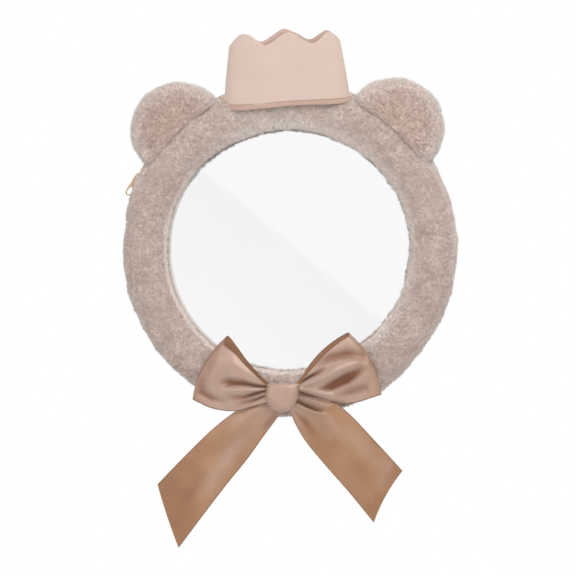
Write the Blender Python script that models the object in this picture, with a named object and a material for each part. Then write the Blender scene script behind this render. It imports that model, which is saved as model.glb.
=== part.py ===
"""Plush bear-ear wall mirror: a round mirror in a stuffed sherpa ring with two ears, a felt crown,
a satin bow and a zipped edge.

Row frame: metres, +Z up, -Y towards the person looking in the mirror. The origin is the centre of
the ring on the plane of its flat back, y = 0. Lengths below are in millimetres until place() scales
them. Round parts turn about the ring's axis, which is the Y axis; a "polar" angle is measured in the
X-Z plane from +X towards +Z.
"""

from math import cos, pi, radians, sin

import bmesh
import bpy
from mathutils import Matrix, Vector

MM = 0.001
GAP = 0.3  # left between pieces that touch

# ---- driving dimensions, in millimetres ----
RING_OUTER_R = 168.0
RING_INNER_R = 121.0
RING_FRONT_Y = -42.0
RING_BACK_Y = -4.0
SEAM_Y = -22.0  # where the front cover meets the gusset, the ring's widest place
FABRIC = 2.5  # sherpa: knitted backing and pile together
FRONT_ROUNDNESS = 2.3  # superellipse exponents of the ring's section
BACK_ROUNDNESS = 5.0
RING_STEP = 6.0  # degrees per facet of the ring

MIRROR_R = 122.5
MIRROR_FRONT_Y = -14.0
MIRROR_THICK = 4.0
MIRROR_CHAMFER = (4.0, 1.0)  # in from the glass's edge, and back from its front; under the bezel's lip
BEZEL_LIP_R = 119.5
BEZEL_OUTER_R = 124.3
BEZEL_LIP_THICK = 2.0
BEZEL_CHAMFER = 0.6
ADHESIVE_INSETS = (22.0, 4.0)  # of the foam tape's two edges, from the glass's edge
ADHESIVE_THICK = 1.0
BOARD_THICK = 4.0
BACK_PANEL_R = 124.0
BACK_PANEL_THICK = 1.5

ZIP_R = 165.6  # middle surface of the zip's tapes
ZIP_Y = -13.4  # line on which the two rows of teeth meet
ZIP_WIDTH = 13.6
ZIP_START = 147.5  # polar angles of the tapes' ends
ZIP_STOP = 286.0
ZIP_STEP = 3.5
TAPE_THICK = 0.8
TEETH_WIDTH = 2.0
TEETH_THICK = 2.0
TEETH_APART = 1.6  # slot between the rows that the slider's post runs in
SLIDER_POLAR = 151.8
SLIDER_LENGTH = 11.0
SLIDER_WIDTH = 8.4
SLIDER_PLATE = 1.0
SLIDER_CLEAR = 0.35
BRIDGE_HALF_LENGTH = 3.8
BRIDGE_TOP = 5.4
BRIDGE_BAR = 0.8
LINK_WIRE_R = 0.55
LINK_LENGTH = 6.4
LINK_WIDTH = 5.2
LINK_LIFT = 15.0  # degrees that the link stands off the slider at rest
LINK_AT = (1.5, 3.85)  # its hinge: along the zip from the slider's middle, and out from the tapes
TAB_LENGTH = 25.0
TAB_WIDTH = 6.8
TAB_NECK = 4.6
TAB_THICK = 1.0
TAB_EYE_R = 1.25
TAB_EYE_RIM = 0.9
FINGER_HOLE = (5.4, 4.2, 1.5)  # its middle from the tab's end, its half length, and the rim beside it

EAR_R = 48.5
EAR_POLAR = 48.0  # of the right ear; the left one mirrors it
EAR_DISTANCE = 161.5
EAR_Y = -23.0
EAR_HALF_THICK = 15.0

CROWN_X = -1.5
CROWN_Y = -27.0
CROWN_BASE = (62.5, 20.5)  # half width and half depth
CROWN_TOP = (55.0, 18.5)
CROWN_FOOT_Z = 148.0
CROWN_RIM = ((0.0, 72.0), (0.47, 61.0), (0.77, 72.5), (1.0, 59.5))  # share of half width, height
CROWN_SQUARENESS = 2.5
CROWN_WALL = 1.4
CROWN_LINING = 1.1
CROWN_HEM_HEIGHT = 5.0
CROWN_HEM_THICK = 1.2
CROWN_LEAN = 7.0  # degrees forward
CROWN_TILT = 3.0  # degrees, its right side up

KNOT_CENTRE = Vector((-6.0, -56.5, -149.5))
KNOT_SIZE = (33.0, 21.0, 26.0)
BOW_PAD = (44.0, 3.4, 20.0)
TAIL_THICK = 1.6

HANGER_Z = 143.0  # hinge of the hanging ring, in the fold of its tab
HANGER_Y = -1.9
HANGER_WIRE_R = 0.8
HANGER_SIZE = (22.0, 14.0)
HANGER_TAB = (15.0, 11.0)
HANGER_TAB_THICK = 0.7


# ---- materials ----
def material(name, colour, roughness, metallic=0.0):
    made = bpy.data.materials.new(name)
    made.use_nodes = True
    shader = made.node_tree.nodes["Principled BSDF"]
    shader.inputs["Base Color"].default_value = (*colour, 1.0)
    shader.inputs["Roughness"].default_value = roughness
    shader.inputs["Metallic"].default_value = metallic
    return made


# ---- making solids ----
def place(name, bm, finish, smooth_angle=35.0):
    """Turns a bmesh in millimetres into the named object in metres."""
    bmesh.ops.remove_doubles(bm, verts=bm.verts, dist=1e-5)
    bmesh.ops.recalc_face_normals(bm, faces=bm.faces)
    bmesh.ops.scale(bm, vec=(MM, MM, MM), verts=bm.verts)
    mesh = bpy.data.meshes.new(name)
    bm.to_mesh(mesh)
    bm.free()
    mesh.shade_smooth()
    mesh.set_sharp_from_angle(angle=radians(smooth_angle))
    mesh.materials.append(finish)
    made = bpy.data.objects.new(name, mesh)
    bpy.context.scene.collection.objects.link(made)
    return made


def loft(name, sections, finish, closed=False, smooth_angle=35.0):
    """A solid through closed sections of equal point count; a closed loft joins the last to the first."""
    bm = bmesh.new()
    rings = [[bm.verts.new(point) for point in section] for section in sections]
    count = len(rings[0])
    pairs = list(zip(rings, rings[1:] + rings[:1])) if closed else list(zip(rings, rings[1:]))
    for here, there in pairs:
        for i in range(count):
            j = (i + 1) % count
            bm.faces.new((here[i], here[j], there[j], there[i]))
    if not closed:
        bm.faces.new(rings[0])
        bm.faces.new(rings[-1])
    return place(name, bm, finish, smooth_angle)


def on_ring(r, y, polar):
    """The point at radius r and depth y on the ray at a polar angle in degrees."""
    a = radians(polar)
    return Vector((r * cos(a), y, r * sin(a)))


def turned(name, profile, finish, start=0.0, stop=360.0, step=RING_STEP, centre=(0.0, 0.0)):
    """A closed profile of (radius, y) points turned about a line along Y through centre (x, z)."""
    whole = stop - start >= 360.0
    count = max(1, round((stop - start) / step))
    angles = [start + (stop - start) * i / count for i in range(count + (not whole))]
    offset = Vector((centre[0], 0.0, centre[1]))
    sections = [[on_ring(r, y, angle) + offset for r, y in profile] for angle in angles]
    return loft(name, sections, finish, closed=whole)


def block(name, corner_a, corner_b, finish, polar=None):
    """A box. With polar, its corners are (along the zip, out from the tapes, across) at that angle."""
    bm = bmesh.new()
    bmesh.ops.create_cube(bm, size=1.0)
    for vert in bm.verts:
        corner = [b if share > 0 else a for share, a, b in zip(vert.co, corner_a, corner_b)]
        vert.co = Vector(corner) if polar is None else zip_point(*corner, polar=polar)
    return place(name, bm, finish)


def cut(target, *cutters):
    for cutter in cutters:
        modifier = target.modifiers.new("cut", "BOOLEAN")
        modifier.operation = "DIFFERENCE"
        modifier.object = cutter


def unite(target, *others):
    """Joins others into target with Boolean unions and keeps them as hidden helpers."""
    for other in others:
        modifier = target.modifiers.new("join", "BOOLEAN")
        modifier.operation = "UNION"
        modifier.object = other
        hide(other)


def hide(helper):
    helper.hide_render = True
    helper.display_type = "WIRE"


def superellipse(angle, half_a, half_b, power):
    """The point of a superellipse in the direction of a parameter angle in degrees."""
    c, s = cos(radians(angle)), sin(radians(angle))
    return (
        half_a * abs(c) ** (2 / power) * (1 if c >= 0 else -1),
        half_b * abs(s) ** (2 / power) * (1 if s >= 0 else -1),
    )


# ---- the stuffed ring ----
def ring_outline(angle, inset=0.0):
    """Section of the ring: angle 0 is its outermost point, 90 its back, 180 its innermost, 270 its front."""
    middle_r = (RING_OUTER_R + RING_INNER_R) / 2
    half_width = (RING_OUTER_R - RING_INNER_R) / 2 - inset
    back = angle % 360 < 180
    half_depth = (RING_BACK_Y - SEAM_Y if back else SEAM_Y - RING_FRONT_Y) - inset
    power = BACK_ROUNDNESS if back else FRONT_ROUNDNESS
    dr, dy = superellipse(angle, half_width, half_depth, power)
    r, y = middle_r + dr, SEAM_Y + dy
    if back and dr > 0:
        r = min(r, ZIP_R + TAPE_THICK / 2 - inset)  # flat for the zip
    if back and dr < 0:
        r = max(r, BEZEL_OUTER_R + 2 * GAP + inset)  # steps back round the bezel
    return r, y


def outline_points(start, stop, count, inset=0.0):
    return [ring_outline(start + (stop - start) * i / count, inset) for i in range(count + 1)]


def cover_panel(name, start, stop, count, keep, hole_edge, rim_edge, finish):
    """A panel of fabric over part of the ring's section, trimmed by keep (min or max) at two depths."""
    middle_r = (RING_OUTER_R + RING_INNER_R) / 2
    faces = []
    for inset in (0.0, FABRIC):
        face = [
            (r, keep(y, rim_edge if r > middle_r else hole_edge))
            for r, y in outline_points(start, stop, count, inset)
        ]
        if keep is min:
            face.insert(0, (RING_INNER_R + inset, hole_edge))  # carries the front on to the bezel
        faces.append(face)
    return turned(name, faces[0] + faces[1][::-1], finish)


def zip_band():
    """Lowest and highest y of the opening that the zip closes."""
    return ZIP_Y - ZIP_WIDTH / 2, ZIP_Y + ZIP_WIDTH / 2


def angle_at_depth(y):
    """Outline angle at which the ring's outer back quarter reaches a depth, by halving."""
    low, high = 0.0, 90.0
    for _ in range(40):
        middle = (low + high) / 2
        if ring_outline(middle)[1] < y:
            low = middle
        else:
            high = middle
    return low


def make_ring(sherpa, filling):
    front_edge, back_edge = zip_band()
    front_edge_angle = angle_at_depth(front_edge - GAP) + 360.0
    hole_edge = MIRROR_FRONT_Y - BEZEL_LIP_THICK - 2 * GAP
    cover_panel(
        "front_cover", 180.0, front_edge_angle, 13, min, hole_edge, front_edge - GAP, sherpa
    )
    cover_panel(
        "back_cover", angle_at_depth(back_edge + GAP), 179.9, 9, max, hole_edge + GAP,
        back_edge + GAP, sherpa,
    )
    gusset = [
        (ZIP_R + TAPE_THICK / 2, front_edge),
        (ZIP_R + TAPE_THICK / 2, back_edge),
        (ZIP_R + TAPE_THICK / 2 - FABRIC, back_edge),
        (ZIP_R + TAPE_THICK / 2 - FABRIC, front_edge),
    ]
    turned("gusset", gusset, sherpa, start=ZIP_STOP + 0.3, stop=360.0 + ZIP_START - 0.3)
    slider_room = ZIP_R - TEETH_THICK / 2 - SLIDER_CLEAR - SLIDER_PLATE - 3 * GAP
    front_face = outline_points(180.0, front_edge_angle, 13, FABRIC + GAP)
    back_face = outline_points(angle_at_depth(back_edge + GAP), 179.9, 9, FABRIC + GAP)
    core = [(min(r, slider_room), y) for r, y in front_face + back_face]
    turned("stuffing_ring", core, filling)


# ---- the mirror and what holds it ----
def disc(name, radius, front_y, back_y, finish):
    return turned(name, [(0.0, front_y), (radius, front_y), (radius, back_y), (0.0, back_y)], finish)


def make_mirror(glass, plastic, board, felt, adhesive):
    glass_back = MIRROR_FRONT_Y + MIRROR_THICK
    glass_profile = [
        (0.0, MIRROR_FRONT_Y),
        (MIRROR_R - MIRROR_CHAMFER[0], MIRROR_FRONT_Y),
        (MIRROR_R, MIRROR_FRONT_Y + MIRROR_CHAMFER[1]),
        (MIRROR_R, glass_back),
        (0.0, glass_back),
    ]
    turned("mirror_glass", glass_profile, glass)
    lip_front = MIRROR_FRONT_Y - GAP - BEZEL_LIP_THICK
    skirt_back = -BACK_PANEL_THICK - GAP
    bezel_profile = [
        (BEZEL_LIP_R, lip_front + BEZEL_CHAMFER),
        (BEZEL_LIP_R + BEZEL_CHAMFER, lip_front),
        (BEZEL_OUTER_R, lip_front),
        (BEZEL_OUTER_R, skirt_back),
        (MIRROR_R + GAP, skirt_back),
        (MIRROR_R + GAP, MIRROR_FRONT_Y - GAP),
        (BEZEL_LIP_R, MIRROR_FRONT_Y - GAP),
    ]
    turned("mirror_bezel", bezel_profile, plastic)
    tape_back = glass_back + GAP + ADHESIVE_THICK
    tape_in, tape_out = (MIRROR_R - inset for inset in ADHESIVE_INSETS)
    tape = [
        (tape_in, glass_back + GAP),
        (tape_out, glass_back + GAP),
        (tape_out, tape_back),
        (tape_in, tape_back),
    ]
    turned("adhesive_ring", tape, adhesive)
    board_front = tape_back + GAP
    disc("backing_board", MIRROR_R, board_front, board_front + BOARD_THICK, board)
    disc("back_panel", BACK_PANEL_R, -BACK_PANEL_THICK, 0.0, felt)


# ---- the zip ----
def zip_point(along, out, across, polar=SLIDER_POLAR):
    """A point in the zip's own directions at a polar angle: along it, out from the tapes, across it."""
    a = radians(polar)
    out_dir = Vector((cos(a), 0.0, sin(a)))
    along_dir = Vector((-sin(a), 0.0, cos(a)))
    across_dir = Vector((0.0, 1.0, 0.0))
    middle = out_dir * ZIP_R + across_dir * ZIP_Y
    return middle + along_dir * along + out_dir * out + across_dir * across


def zip_strip(name, inner_y, outer_y, thick, start, stop, finish):
    low, high = sorted((ZIP_Y + inner_y, ZIP_Y + outer_y))
    profile = [
        (ZIP_R - thick / 2, low),
        (ZIP_R + thick / 2, low),
        (ZIP_R + thick / 2, high),
        (ZIP_R - thick / 2, high),
    ]
    return turned(name, profile, finish, start=start, stop=stop, step=ZIP_STEP)


def make_zip(tape, metal):
    teeth_in = TEETH_APART / 2
    teeth_out = teeth_in + TEETH_WIDTH
    teeth_start = SLIDER_POLAR - 0.5
    teeth_stop = ZIP_STOP - 3.0
    for side, row in ((-1, "front"), (1, "back")):
        zip_strip(
            f"zip_tape_{row}", side * (teeth_out + GAP), side * (ZIP_WIDTH / 2 - GAP),
            TAPE_THICK, ZIP_START, ZIP_STOP, tape,
        )
        zip_strip(
            f"zip_teeth_{row}", side * teeth_in, side * teeth_out,
            TEETH_THICK, teeth_start, teeth_stop, tape,
        )
    half = TEETH_THICK / 2
    for name, polar, reach in (
        ("zip_top_stop", ZIP_START + 1.0, 1.0),
        ("zip_bottom_stop", teeth_stop + 0.9, 1.5),
    ):
        block(name, (-reach, -half, -teeth_out), (reach, half, teeth_out), metal, polar=polar)
    make_slider(metal)
    make_pull(metal)


def make_slider(metal):
    """Two plates joined by a post between the rows of teeth, with a bridge for the pull."""
    length, width = SLIDER_LENGTH / 2, SLIDER_WIDTH / 2
    plate_in = TEETH_THICK / 2 + SLIDER_CLEAR
    plate_out = plate_in + SLIDER_PLATE
    overlap = 0.2
    outline = [
        (-length, width * 0.98), (-length, -width * 0.98), (-length * 0.3, -width),
        (length, -width * 0.72), (length, width * 0.72), (-length * 0.3, width),
    ]
    body = slider_plate("zip_slider", outline, plate_in, plate_out, metal)
    lower = slider_plate("slider_lower_plate", outline, -plate_out, -plate_in, metal)
    post_half = TEETH_APART / 2 - 0.3
    post = block(
        "slider_post", (-length + 0.6, -plate_in - overlap, -post_half),
        (-length + 3.4, plate_in + overlap, post_half), metal, polar=SLIDER_POLAR,
    )
    bar_in = BRIDGE_TOP - BRIDGE_BAR
    parts = [lower, post]
    parts.append(block(
        "slider_bridge", (-BRIDGE_HALF_LENGTH, bar_in, -0.7), (BRIDGE_HALF_LENGTH, BRIDGE_TOP, 0.7),
        metal, polar=SLIDER_POLAR,
    ))
    for side in (-1, 1):
        near, far = sorted((side * (BRIDGE_HALF_LENGTH - BRIDGE_BAR), side * BRIDGE_HALF_LENGTH))
        parts.append(block(
            f"slider_leg_{side}", (near + 0.02, plate_out - overlap, -0.65),
            (far - 0.02, bar_in + overlap, 0.65), metal, polar=SLIDER_POLAR,
        ))
    unite(body, *parts)


def slider_plate(name, outline, low, high, metal):
    sections = [[zip_point(t, n, s) for t, s in outline] for n in (low, high)]
    return loft(name, sections, metal)


def link_end():
    """Where the tab hangs on the link: along the zip and out from the tapes."""
    lift = radians(LINK_LIFT)
    return LINK_AT[0] + LINK_LENGTH * cos(lift), LINK_AT[1] + LINK_LENGTH * sin(lift)


def make_pull(metal):
    """A wire link under the slider's bridge, and the tab that hangs on the link."""
    lift = radians(LINK_LIFT)
    corner = 1.2
    half_width = LINK_WIDTH / 2
    loop = []
    for start, middle_u, middle_s in (
        (0.0, LINK_LENGTH - corner, half_width - corner),
        (90.0, corner, half_width - corner),
        (180.0, corner, -half_width + corner),
        (270.0, LINK_LENGTH - corner, -half_width + corner),
    ):
        for turn in (0.0, 45.0, 90.0):
            a = radians(start + turn)
            loop.append((middle_u + corner * cos(a), middle_s + corner * sin(a)))
    path = [
        zip_point(LINK_AT[0] + u * cos(lift), LINK_AT[1] + u * sin(lift), s) for u, s in loop
    ]
    wire_loop("zip_pull_link", path, LINK_WIRE_R, metal)

    hang_along, hang_out = link_end()
    neck, width = TAB_NECK / 2, TAB_WIDTH / 2
    top = -TAB_EYE_R - TAB_EYE_RIM
    end = top + TAB_LENGTH
    outline = [(top, 0.0)]
    outline += [(top + 0.7, neck * 0.7), (top + 2.0, neck), (end * 0.5, width * 0.9)]
    outline += [(end - width + width * sin(radians(a)), width * cos(radians(a))) for a in (0, 30, 60)]
    mirrored = [(t, -n) for t, n in reversed(outline[1:])]
    outline = outline + [(end, 0.0)] + mirrored
    tab = loft("zip_pull_tab", tab_sections(outline, hang_along, hang_out, TAB_THICK), metal)
    eye = [
        (TAB_EYE_R * cos(radians(a)), TAB_EYE_R * sin(radians(a))) for a in range(0, 360, 30)
    ]
    eye = [(t + TAB_EYE_R - LINK_WIRE_R - 0.35, n) for t, n in eye]
    from_end, half_length, rim = FINGER_HOLE
    finger_hole = []
    for a in range(0, 360, 30):
        t, n = cos(radians(a)), sin(radians(a))
        finger_hole.append((end - from_end + half_length * t, (width - rim) * n * (0.86 + 0.14 * t)))
    for name, hole in (("tab_eye_cutter", eye), ("tab_hole_cutter", finger_hole)):
        cutter = loft(name, tab_sections(hole, hang_along, hang_out, TAB_THICK + 2.0), metal)
        hide(cutter)
        cut(tab, cutter)


def tab_sections(outline, hang_along, hang_out, thick):
    """An outline in the plane across the zip's width, as the two faces of a plate."""
    return [
        [zip_point(hang_along + t, hang_out + n, side * thick / 2) for t, n in outline]
        for side in (-1, 1)
    ]


def wire_loop(name, path, radius, finish, sides=6):
    """A round wire along a closed flat path."""
    count = len(path)
    centre = sum(path, Vector()) / count
    normal = (path[0] - centre).cross(path[2] - centre).normalized()
    sections = []
    for i, point in enumerate(path):
        ahead = (path[(i + 1) % count] - path[i - 1]).normalized()
        outward = ahead.cross(normal)
        ring = []
        for k in range(sides):
            a = 2 * pi * k / sides
            ring.append(point + outward * (radius * cos(a)) + normal * (radius * sin(a)))
        sections.append(ring)
    return loft(name, sections, finish, closed=True, smooth_angle=60.0)


# ---- ears ----
def ear_bowl(side, radius, half_thick):
    """Quarter of an ellipse from the ear's seam to its middle; side -1 is the front."""
    points = []
    for i in range(7):
        a = radians(90.0 * i / 6)
        points.append((radius * cos(a) if i < 6 else 0.0, EAR_Y + side * half_thick * sin(a)))
    return points


def make_ears(sherpa, filling, ring_cutter):
    for word, sign in (("left", -1), ("right", 1)):
        a = radians(EAR_POLAR)
        centre = (sign * EAR_DISTANCE * cos(a), EAR_DISTANCE * sin(a))
        for face, side in (("front", -1), ("back", 1)):
            outer = [(r, y + side * GAP / 2) for r, y in ear_bowl(side, EAR_R, EAR_HALF_THICK)]
            inner = [
                (r, y + side * GAP / 2)
                for r, y in ear_bowl(side, EAR_R - FABRIC, EAR_HALF_THICK - FABRIC)
            ]
            shell = turned(
                f"{word}_ear_{face}", outer + inner[::-1], sherpa, step=12.0, centre=centre
            )
            cut(shell, ring_cutter)
        thin, flat = EAR_R - FABRIC - 2 * GAP, EAR_HALF_THICK - FABRIC - 2 * GAP
        lens = ear_bowl(-1, thin, flat)[::-1] + ear_bowl(1, thin, flat)[1:]
        core = turned(f"{word}_ear_stuffing", lens, filling, step=18.0, centre=centre)
        cut(core, ring_cutter)


def ring_cutter_solid(finish):
    """The ring with its hole filled, a little larger all round, to fit the ears and crown against."""
    section = [
        ring_outline(angle, -GAP) for angle in [-90.0 + 180.0 * i / 16 for i in range(17)]
    ]
    front, back = RING_FRONT_Y - GAP, RING_BACK_Y + GAP
    cutter = turned("ring_cutter", [(0.0, front)] + section + [(0.0, back)], finish)
    hide(cutter)
    return cutter


# ---- crown ----
def crown_frame():
    """Leans the crown forward and tilts it sideways about the middle of its foot."""
    foot = Vector((CROWN_X, CROWN_Y, CROWN_FOOT_Z))
    lean = Matrix.Rotation(radians(CROWN_LEAN), 4, "X")
    tilt = Matrix.Rotation(radians(-CROWN_TILT), 4, "Y")
    return Matrix.Translation(foot) @ tilt @ lean


def crown_height(turn):
    """Height of the wall round the crown: soft points, with one at the middle of the front."""
    share = abs(superellipse(turn, 1.0, 1.0, CROWN_SQUARENESS)[0])
    for (near, start), (far, stop) in zip(CROWN_RIM, CROWN_RIM[1:]):
        if share <= far:
            ease = 0.5 - 0.5 * cos(pi * (share - near) / (far - near))
            return start + (stop - start) * ease
    return CROWN_RIM[-1][1]


def crown_section(turn, inner, outer, low, high):
    """A closed section of one layer of the wall at a turn, from low to high shares of its height."""
    frame = crown_frame()
    height = crown_height(turn)
    points = []
    levels = [low + (high - low) * k / 3 for k in range(4)]
    for offset, order in ((outer, levels), (inner, levels[::-1])):
        for share in order:
            half_a = CROWN_BASE[0] + (CROWN_TOP[0] - CROWN_BASE[0]) * share + offset
            half_b = CROWN_BASE[1] + (CROWN_TOP[1] - CROWN_BASE[1]) * share + offset
            x, y = superellipse(turn, half_a, half_b, CROWN_SQUARENESS)
            points.append(frame @ Vector((x, y, height * share)))
    return points


def make_crown(felt, ring_cutter):
    turns = range(0, 360, 6)
    layers = (
        ("crown_wall", -CROWN_WALL, 0.0),
        ("crown_lining", -CROWN_WALL - GAP - CROWN_LINING, -CROWN_WALL - GAP),
    )
    for name, inner, outer in layers:
        sections = [crown_section(turn, inner, outer, 0.0, 1.0) for turn in turns]
        cut(loft(name, sections, felt, closed=True), ring_cutter)
    frame = crown_frame()
    sections = []
    for turn in turns:
        section = []
        for offset, z in (
            (GAP, 0.0), (GAP + CROWN_HEM_THICK, 0.6),
            (GAP + CROWN_HEM_THICK, CROWN_HEM_HEIGHT - 0.6), (GAP, CROWN_HEM_HEIGHT),
        ):
            x, y = superellipse(
                turn, CROWN_BASE[0] + offset, CROWN_BASE[1] + offset, CROWN_SQUARENESS
            )
            section.append(frame @ Vector((x, y, z)))
        sections.append(section)
    cut(loft("crown_hem", sections, felt, closed=True), ring_cutter)


# ---- bow ----
# Each loop and tail is given by pairs of (x, z) edge points from the knot outwards, its depth y and
# its thickness there.
LOOP_LEFT = (
    ((-23.0, -139.0), (-23.0, -157.0), -57.0, 11.0),
    ((-42.0, -119.0), (-47.0, -160.0), -58.0, 19.0),
    ((-55.0, -99.0), (-72.0, -161.0), -57.0, 20.0),
    ((-62.0, -88.0), (-95.0, -150.0), -54.0, 9.0),
)
LOOP_RIGHT = (
    ((11.0, -137.0), (11.0, -151.0), -57.0, 11.0),
    ((28.0, -115.0), (34.0, -158.0), -58.0, 19.0),
    ((48.0, -94.0), (64.0, -158.0), -57.0, 20.0),
    ((59.0, -85.0), (91.0, -144.0), -54.0, 9.0),
)
TAIL_LEFT = (
    ((-18.0, -163.5), (-5.0, -164.5), -52.0, TAIL_THICK),
    ((-40.0, -166.0), (-13.0, -174.0), -46.5, TAIL_THICK),
    ((-62.0, -171.5), (-27.0, -195.0), -45.0, TAIL_THICK),
    ((-85.0, -191.0), (-50.0, -226.0), -43.0, TAIL_THICK),
    ((-108.0, -213.0), (-79.0, -262.0), -40.0, TAIL_THICK),
    ((-132.0, -236.0), (-110.5, -299.0), -36.0, TAIL_THICK),
)
TAIL_RIGHT = (
    ((9.0, -163.5), (-3.0, -164.5), -52.0, TAIL_THICK),
    ((36.0, -163.0), (5.0, -174.0), -46.5, TAIL_THICK),
    ((60.0, -165.5), (18.0, -193.0), -45.0, TAIL_THICK),
    ((80.0, -185.0), (38.0, -215.0), -43.0, TAIL_THICK),
    ((98.0, -204.0), (62.0, -244.0), -40.0, TAIL_THICK),
    ((113.5, -221.0), (85.0, -273.0), -36.0, TAIL_THICK),
)


def puffed_section(top, bottom, y, thick, sides=10):
    """An oval from the top edge point to the bottom one."""
    high, low = Vector((top[0], y, top[1])), Vector((bottom[0], y, bottom[1]))
    middle, half = (high + low) / 2, (high - low) / 2
    points = []
    for k in range(sides):
        a = 2 * pi * k / sides
        points.append(middle + half * cos(a) + Vector((0.0, thick / 2 * sin(a), 0.0)))
    return points


def flat_section(edge_a, edge_b, y, thick):
    back, front = y + thick / 2, y - thick / 2
    (ax, az), (bx, bz) = edge_a, edge_b
    return [
        Vector((ax, front, az)), Vector((bx, front, bz)), Vector((bx, back, bz)), Vector((ax, back, az))
    ]


def make_bow(satin, felt):
    for name, stations in (("bow_loop_left", LOOP_LEFT), ("bow_loop_right", LOOP_RIGHT)):
        loft(name, [puffed_section(*station) for station in stations], satin)
    for name, stations in (("bow_tail_left", TAIL_LEFT), ("bow_tail_right", TAIL_RIGHT)):
        loft(name, [flat_section(*station) for station in stations], satin)
    width, depth, height = (size / 2 for size in KNOT_SIZE)
    sections = []
    for share, swell in ((-1.0, 0.72), (-0.6, 0.95), (0.0, 1.0), (0.6, 1.0), (1.0, 0.8)):
        ring = []
        for k in range(12):
            x, y = superellipse(k * 30.0, width * (0.93 + 0.07 * share), depth * swell, 3.0)
            ring.append(KNOT_CENTRE + Vector((x, y, height * share)))
        sections.append(ring)
    loft("bow_knot", sections, satin)
    pad_back = RING_FRONT_Y - GAP
    half_pad = Vector((BOW_PAD[0] / 2, 0.0, BOW_PAD[2] / 2))
    corner = Vector((KNOT_CENTRE.x, pad_back, KNOT_CENTRE.z + 3.0))
    block("bow_pad", corner - half_pad - Vector((0.0, BOW_PAD[1], 0.0)), corner + half_pad, felt)


# ---- hanger ----
def make_hanger(webbing, metal):
    """A webbing tab sewn to the back cover, with a metal ring in its fold that hangs over the tab."""
    width, height = HANGER_SIZE
    half = width / 2
    path = []
    corner = 2.0
    for a in (90, 135, 180):
        path.append((-half + corner + corner * cos(radians(a)), -corner + corner * sin(radians(a))))
    for a in range(180, 361, 30):
        path.append((half * cos(radians(a)), -(height - half * 0.75) + half * 0.75 * sin(radians(a))))
    for a in (0, 45, 90):
        path.append((half - corner + corner * cos(radians(a)), -corner + corner * sin(radians(a))))
    points = [Vector((x, HANGER_Y, HANGER_Z + z)) for x, z in path]
    wire_loop("hanger_ring", points, HANGER_WIRE_R, metal)
    tab_width, tab_height = HANGER_TAB
    lowest = RING_BACK_Y + GAP
    fold_r = HANGER_WIRE_R + GAP + HANGER_TAB_THICK
    inner_r = HANGER_WIRE_R + GAP
    outline = [(lowest, -tab_height), (lowest + HANGER_TAB_THICK, -tab_height)]
    outline += [(lowest + HANGER_TAB_THICK, -fold_r)]
    outline += [
        (HANGER_Y + inner_r * cos(radians(a)), inner_r * sin(radians(a)))
        for a in (-130, -180, -230, -280, -330, -380, -415)
    ]
    outline += [
        (HANGER_Y + fold_r * cos(radians(a)), fold_r * sin(radians(a)))
        for a in (-415, -380, -330, -280, -235)
    ]
    outline += [(lowest, fold_r * 0.6)]
    sections = [
        [Vector((side * tab_width / 2, y, HANGER_Z + z)) for y, z in outline] for side in (-1, 1)
    ]
    loft("hanger_tab", sections, webbing)


def main():
    for old in list(bpy.data.objects):
        bpy.data.objects.remove(old)
    sherpa = material("sherpa", (0.52, 0.40, 0.36), 0.95)
    filling = material("filling", (0.88, 0.87, 0.84), 1.0)
    glass = material("mirror", (0.95, 0.95, 0.95), 0.03, 1.0)
    plastic = material("bezel_plastic", (0.74, 0.70, 0.66), 0.4)
    board = material("board", (0.42, 0.29, 0.18), 0.8)
    adhesive = material("adhesive_foam", (0.9, 0.9, 0.88), 0.7)
    back_felt = material("back_felt", (0.60, 0.50, 0.45), 0.95)
    tape = material("zip_tape", (0.55, 0.43, 0.38), 0.8)
    gold = material("gold_metal", (0.83, 0.62, 0.42), 0.28, 1.0)
    crown_felt = material("crown_felt", (0.74, 0.56, 0.49), 0.95)
    satin = material("satin", (0.45, 0.28, 0.18), 0.35)

    make_ring(sherpa, filling)
    make_mirror(glass, plastic, board, back_felt, adhesive)
    make_zip(tape, gold)
    ring_cutter = ring_cutter_solid(sherpa)
    make_ears(sherpa, filling, ring_cutter)
    make_crown(crown_felt, ring_cutter)
    make_bow(satin, back_felt)
    make_hanger(tape, gold)


main()
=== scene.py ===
"""Looks of the plush bear-ear mirror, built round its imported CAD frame.

Lengths are in millimetres until mesh_piece() scales them, in the frame's own axes: +Z up and -Y
towards the person looking in the mirror, with the ring's centre at x = z = 0 and its back at y = 0.
"""

from math import cos, pi, radians, sin

import bmesh
import bpy
import numpy as np
from mathutils import Matrix, Vector


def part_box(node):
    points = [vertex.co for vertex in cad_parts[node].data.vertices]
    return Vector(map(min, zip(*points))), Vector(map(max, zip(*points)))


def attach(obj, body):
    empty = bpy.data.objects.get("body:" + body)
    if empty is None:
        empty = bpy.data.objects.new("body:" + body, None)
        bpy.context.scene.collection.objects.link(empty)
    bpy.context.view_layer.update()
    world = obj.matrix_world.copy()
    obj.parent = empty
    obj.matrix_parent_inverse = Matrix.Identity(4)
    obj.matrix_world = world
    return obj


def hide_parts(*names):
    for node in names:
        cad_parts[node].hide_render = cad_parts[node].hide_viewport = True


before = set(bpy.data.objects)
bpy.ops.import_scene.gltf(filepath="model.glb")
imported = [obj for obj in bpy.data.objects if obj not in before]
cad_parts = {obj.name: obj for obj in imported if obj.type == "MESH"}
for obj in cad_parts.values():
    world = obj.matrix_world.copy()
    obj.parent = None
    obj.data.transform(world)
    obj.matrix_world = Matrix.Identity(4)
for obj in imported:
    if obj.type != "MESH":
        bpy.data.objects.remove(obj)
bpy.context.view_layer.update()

MM = 0.001
CLEAR = 0.3

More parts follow.
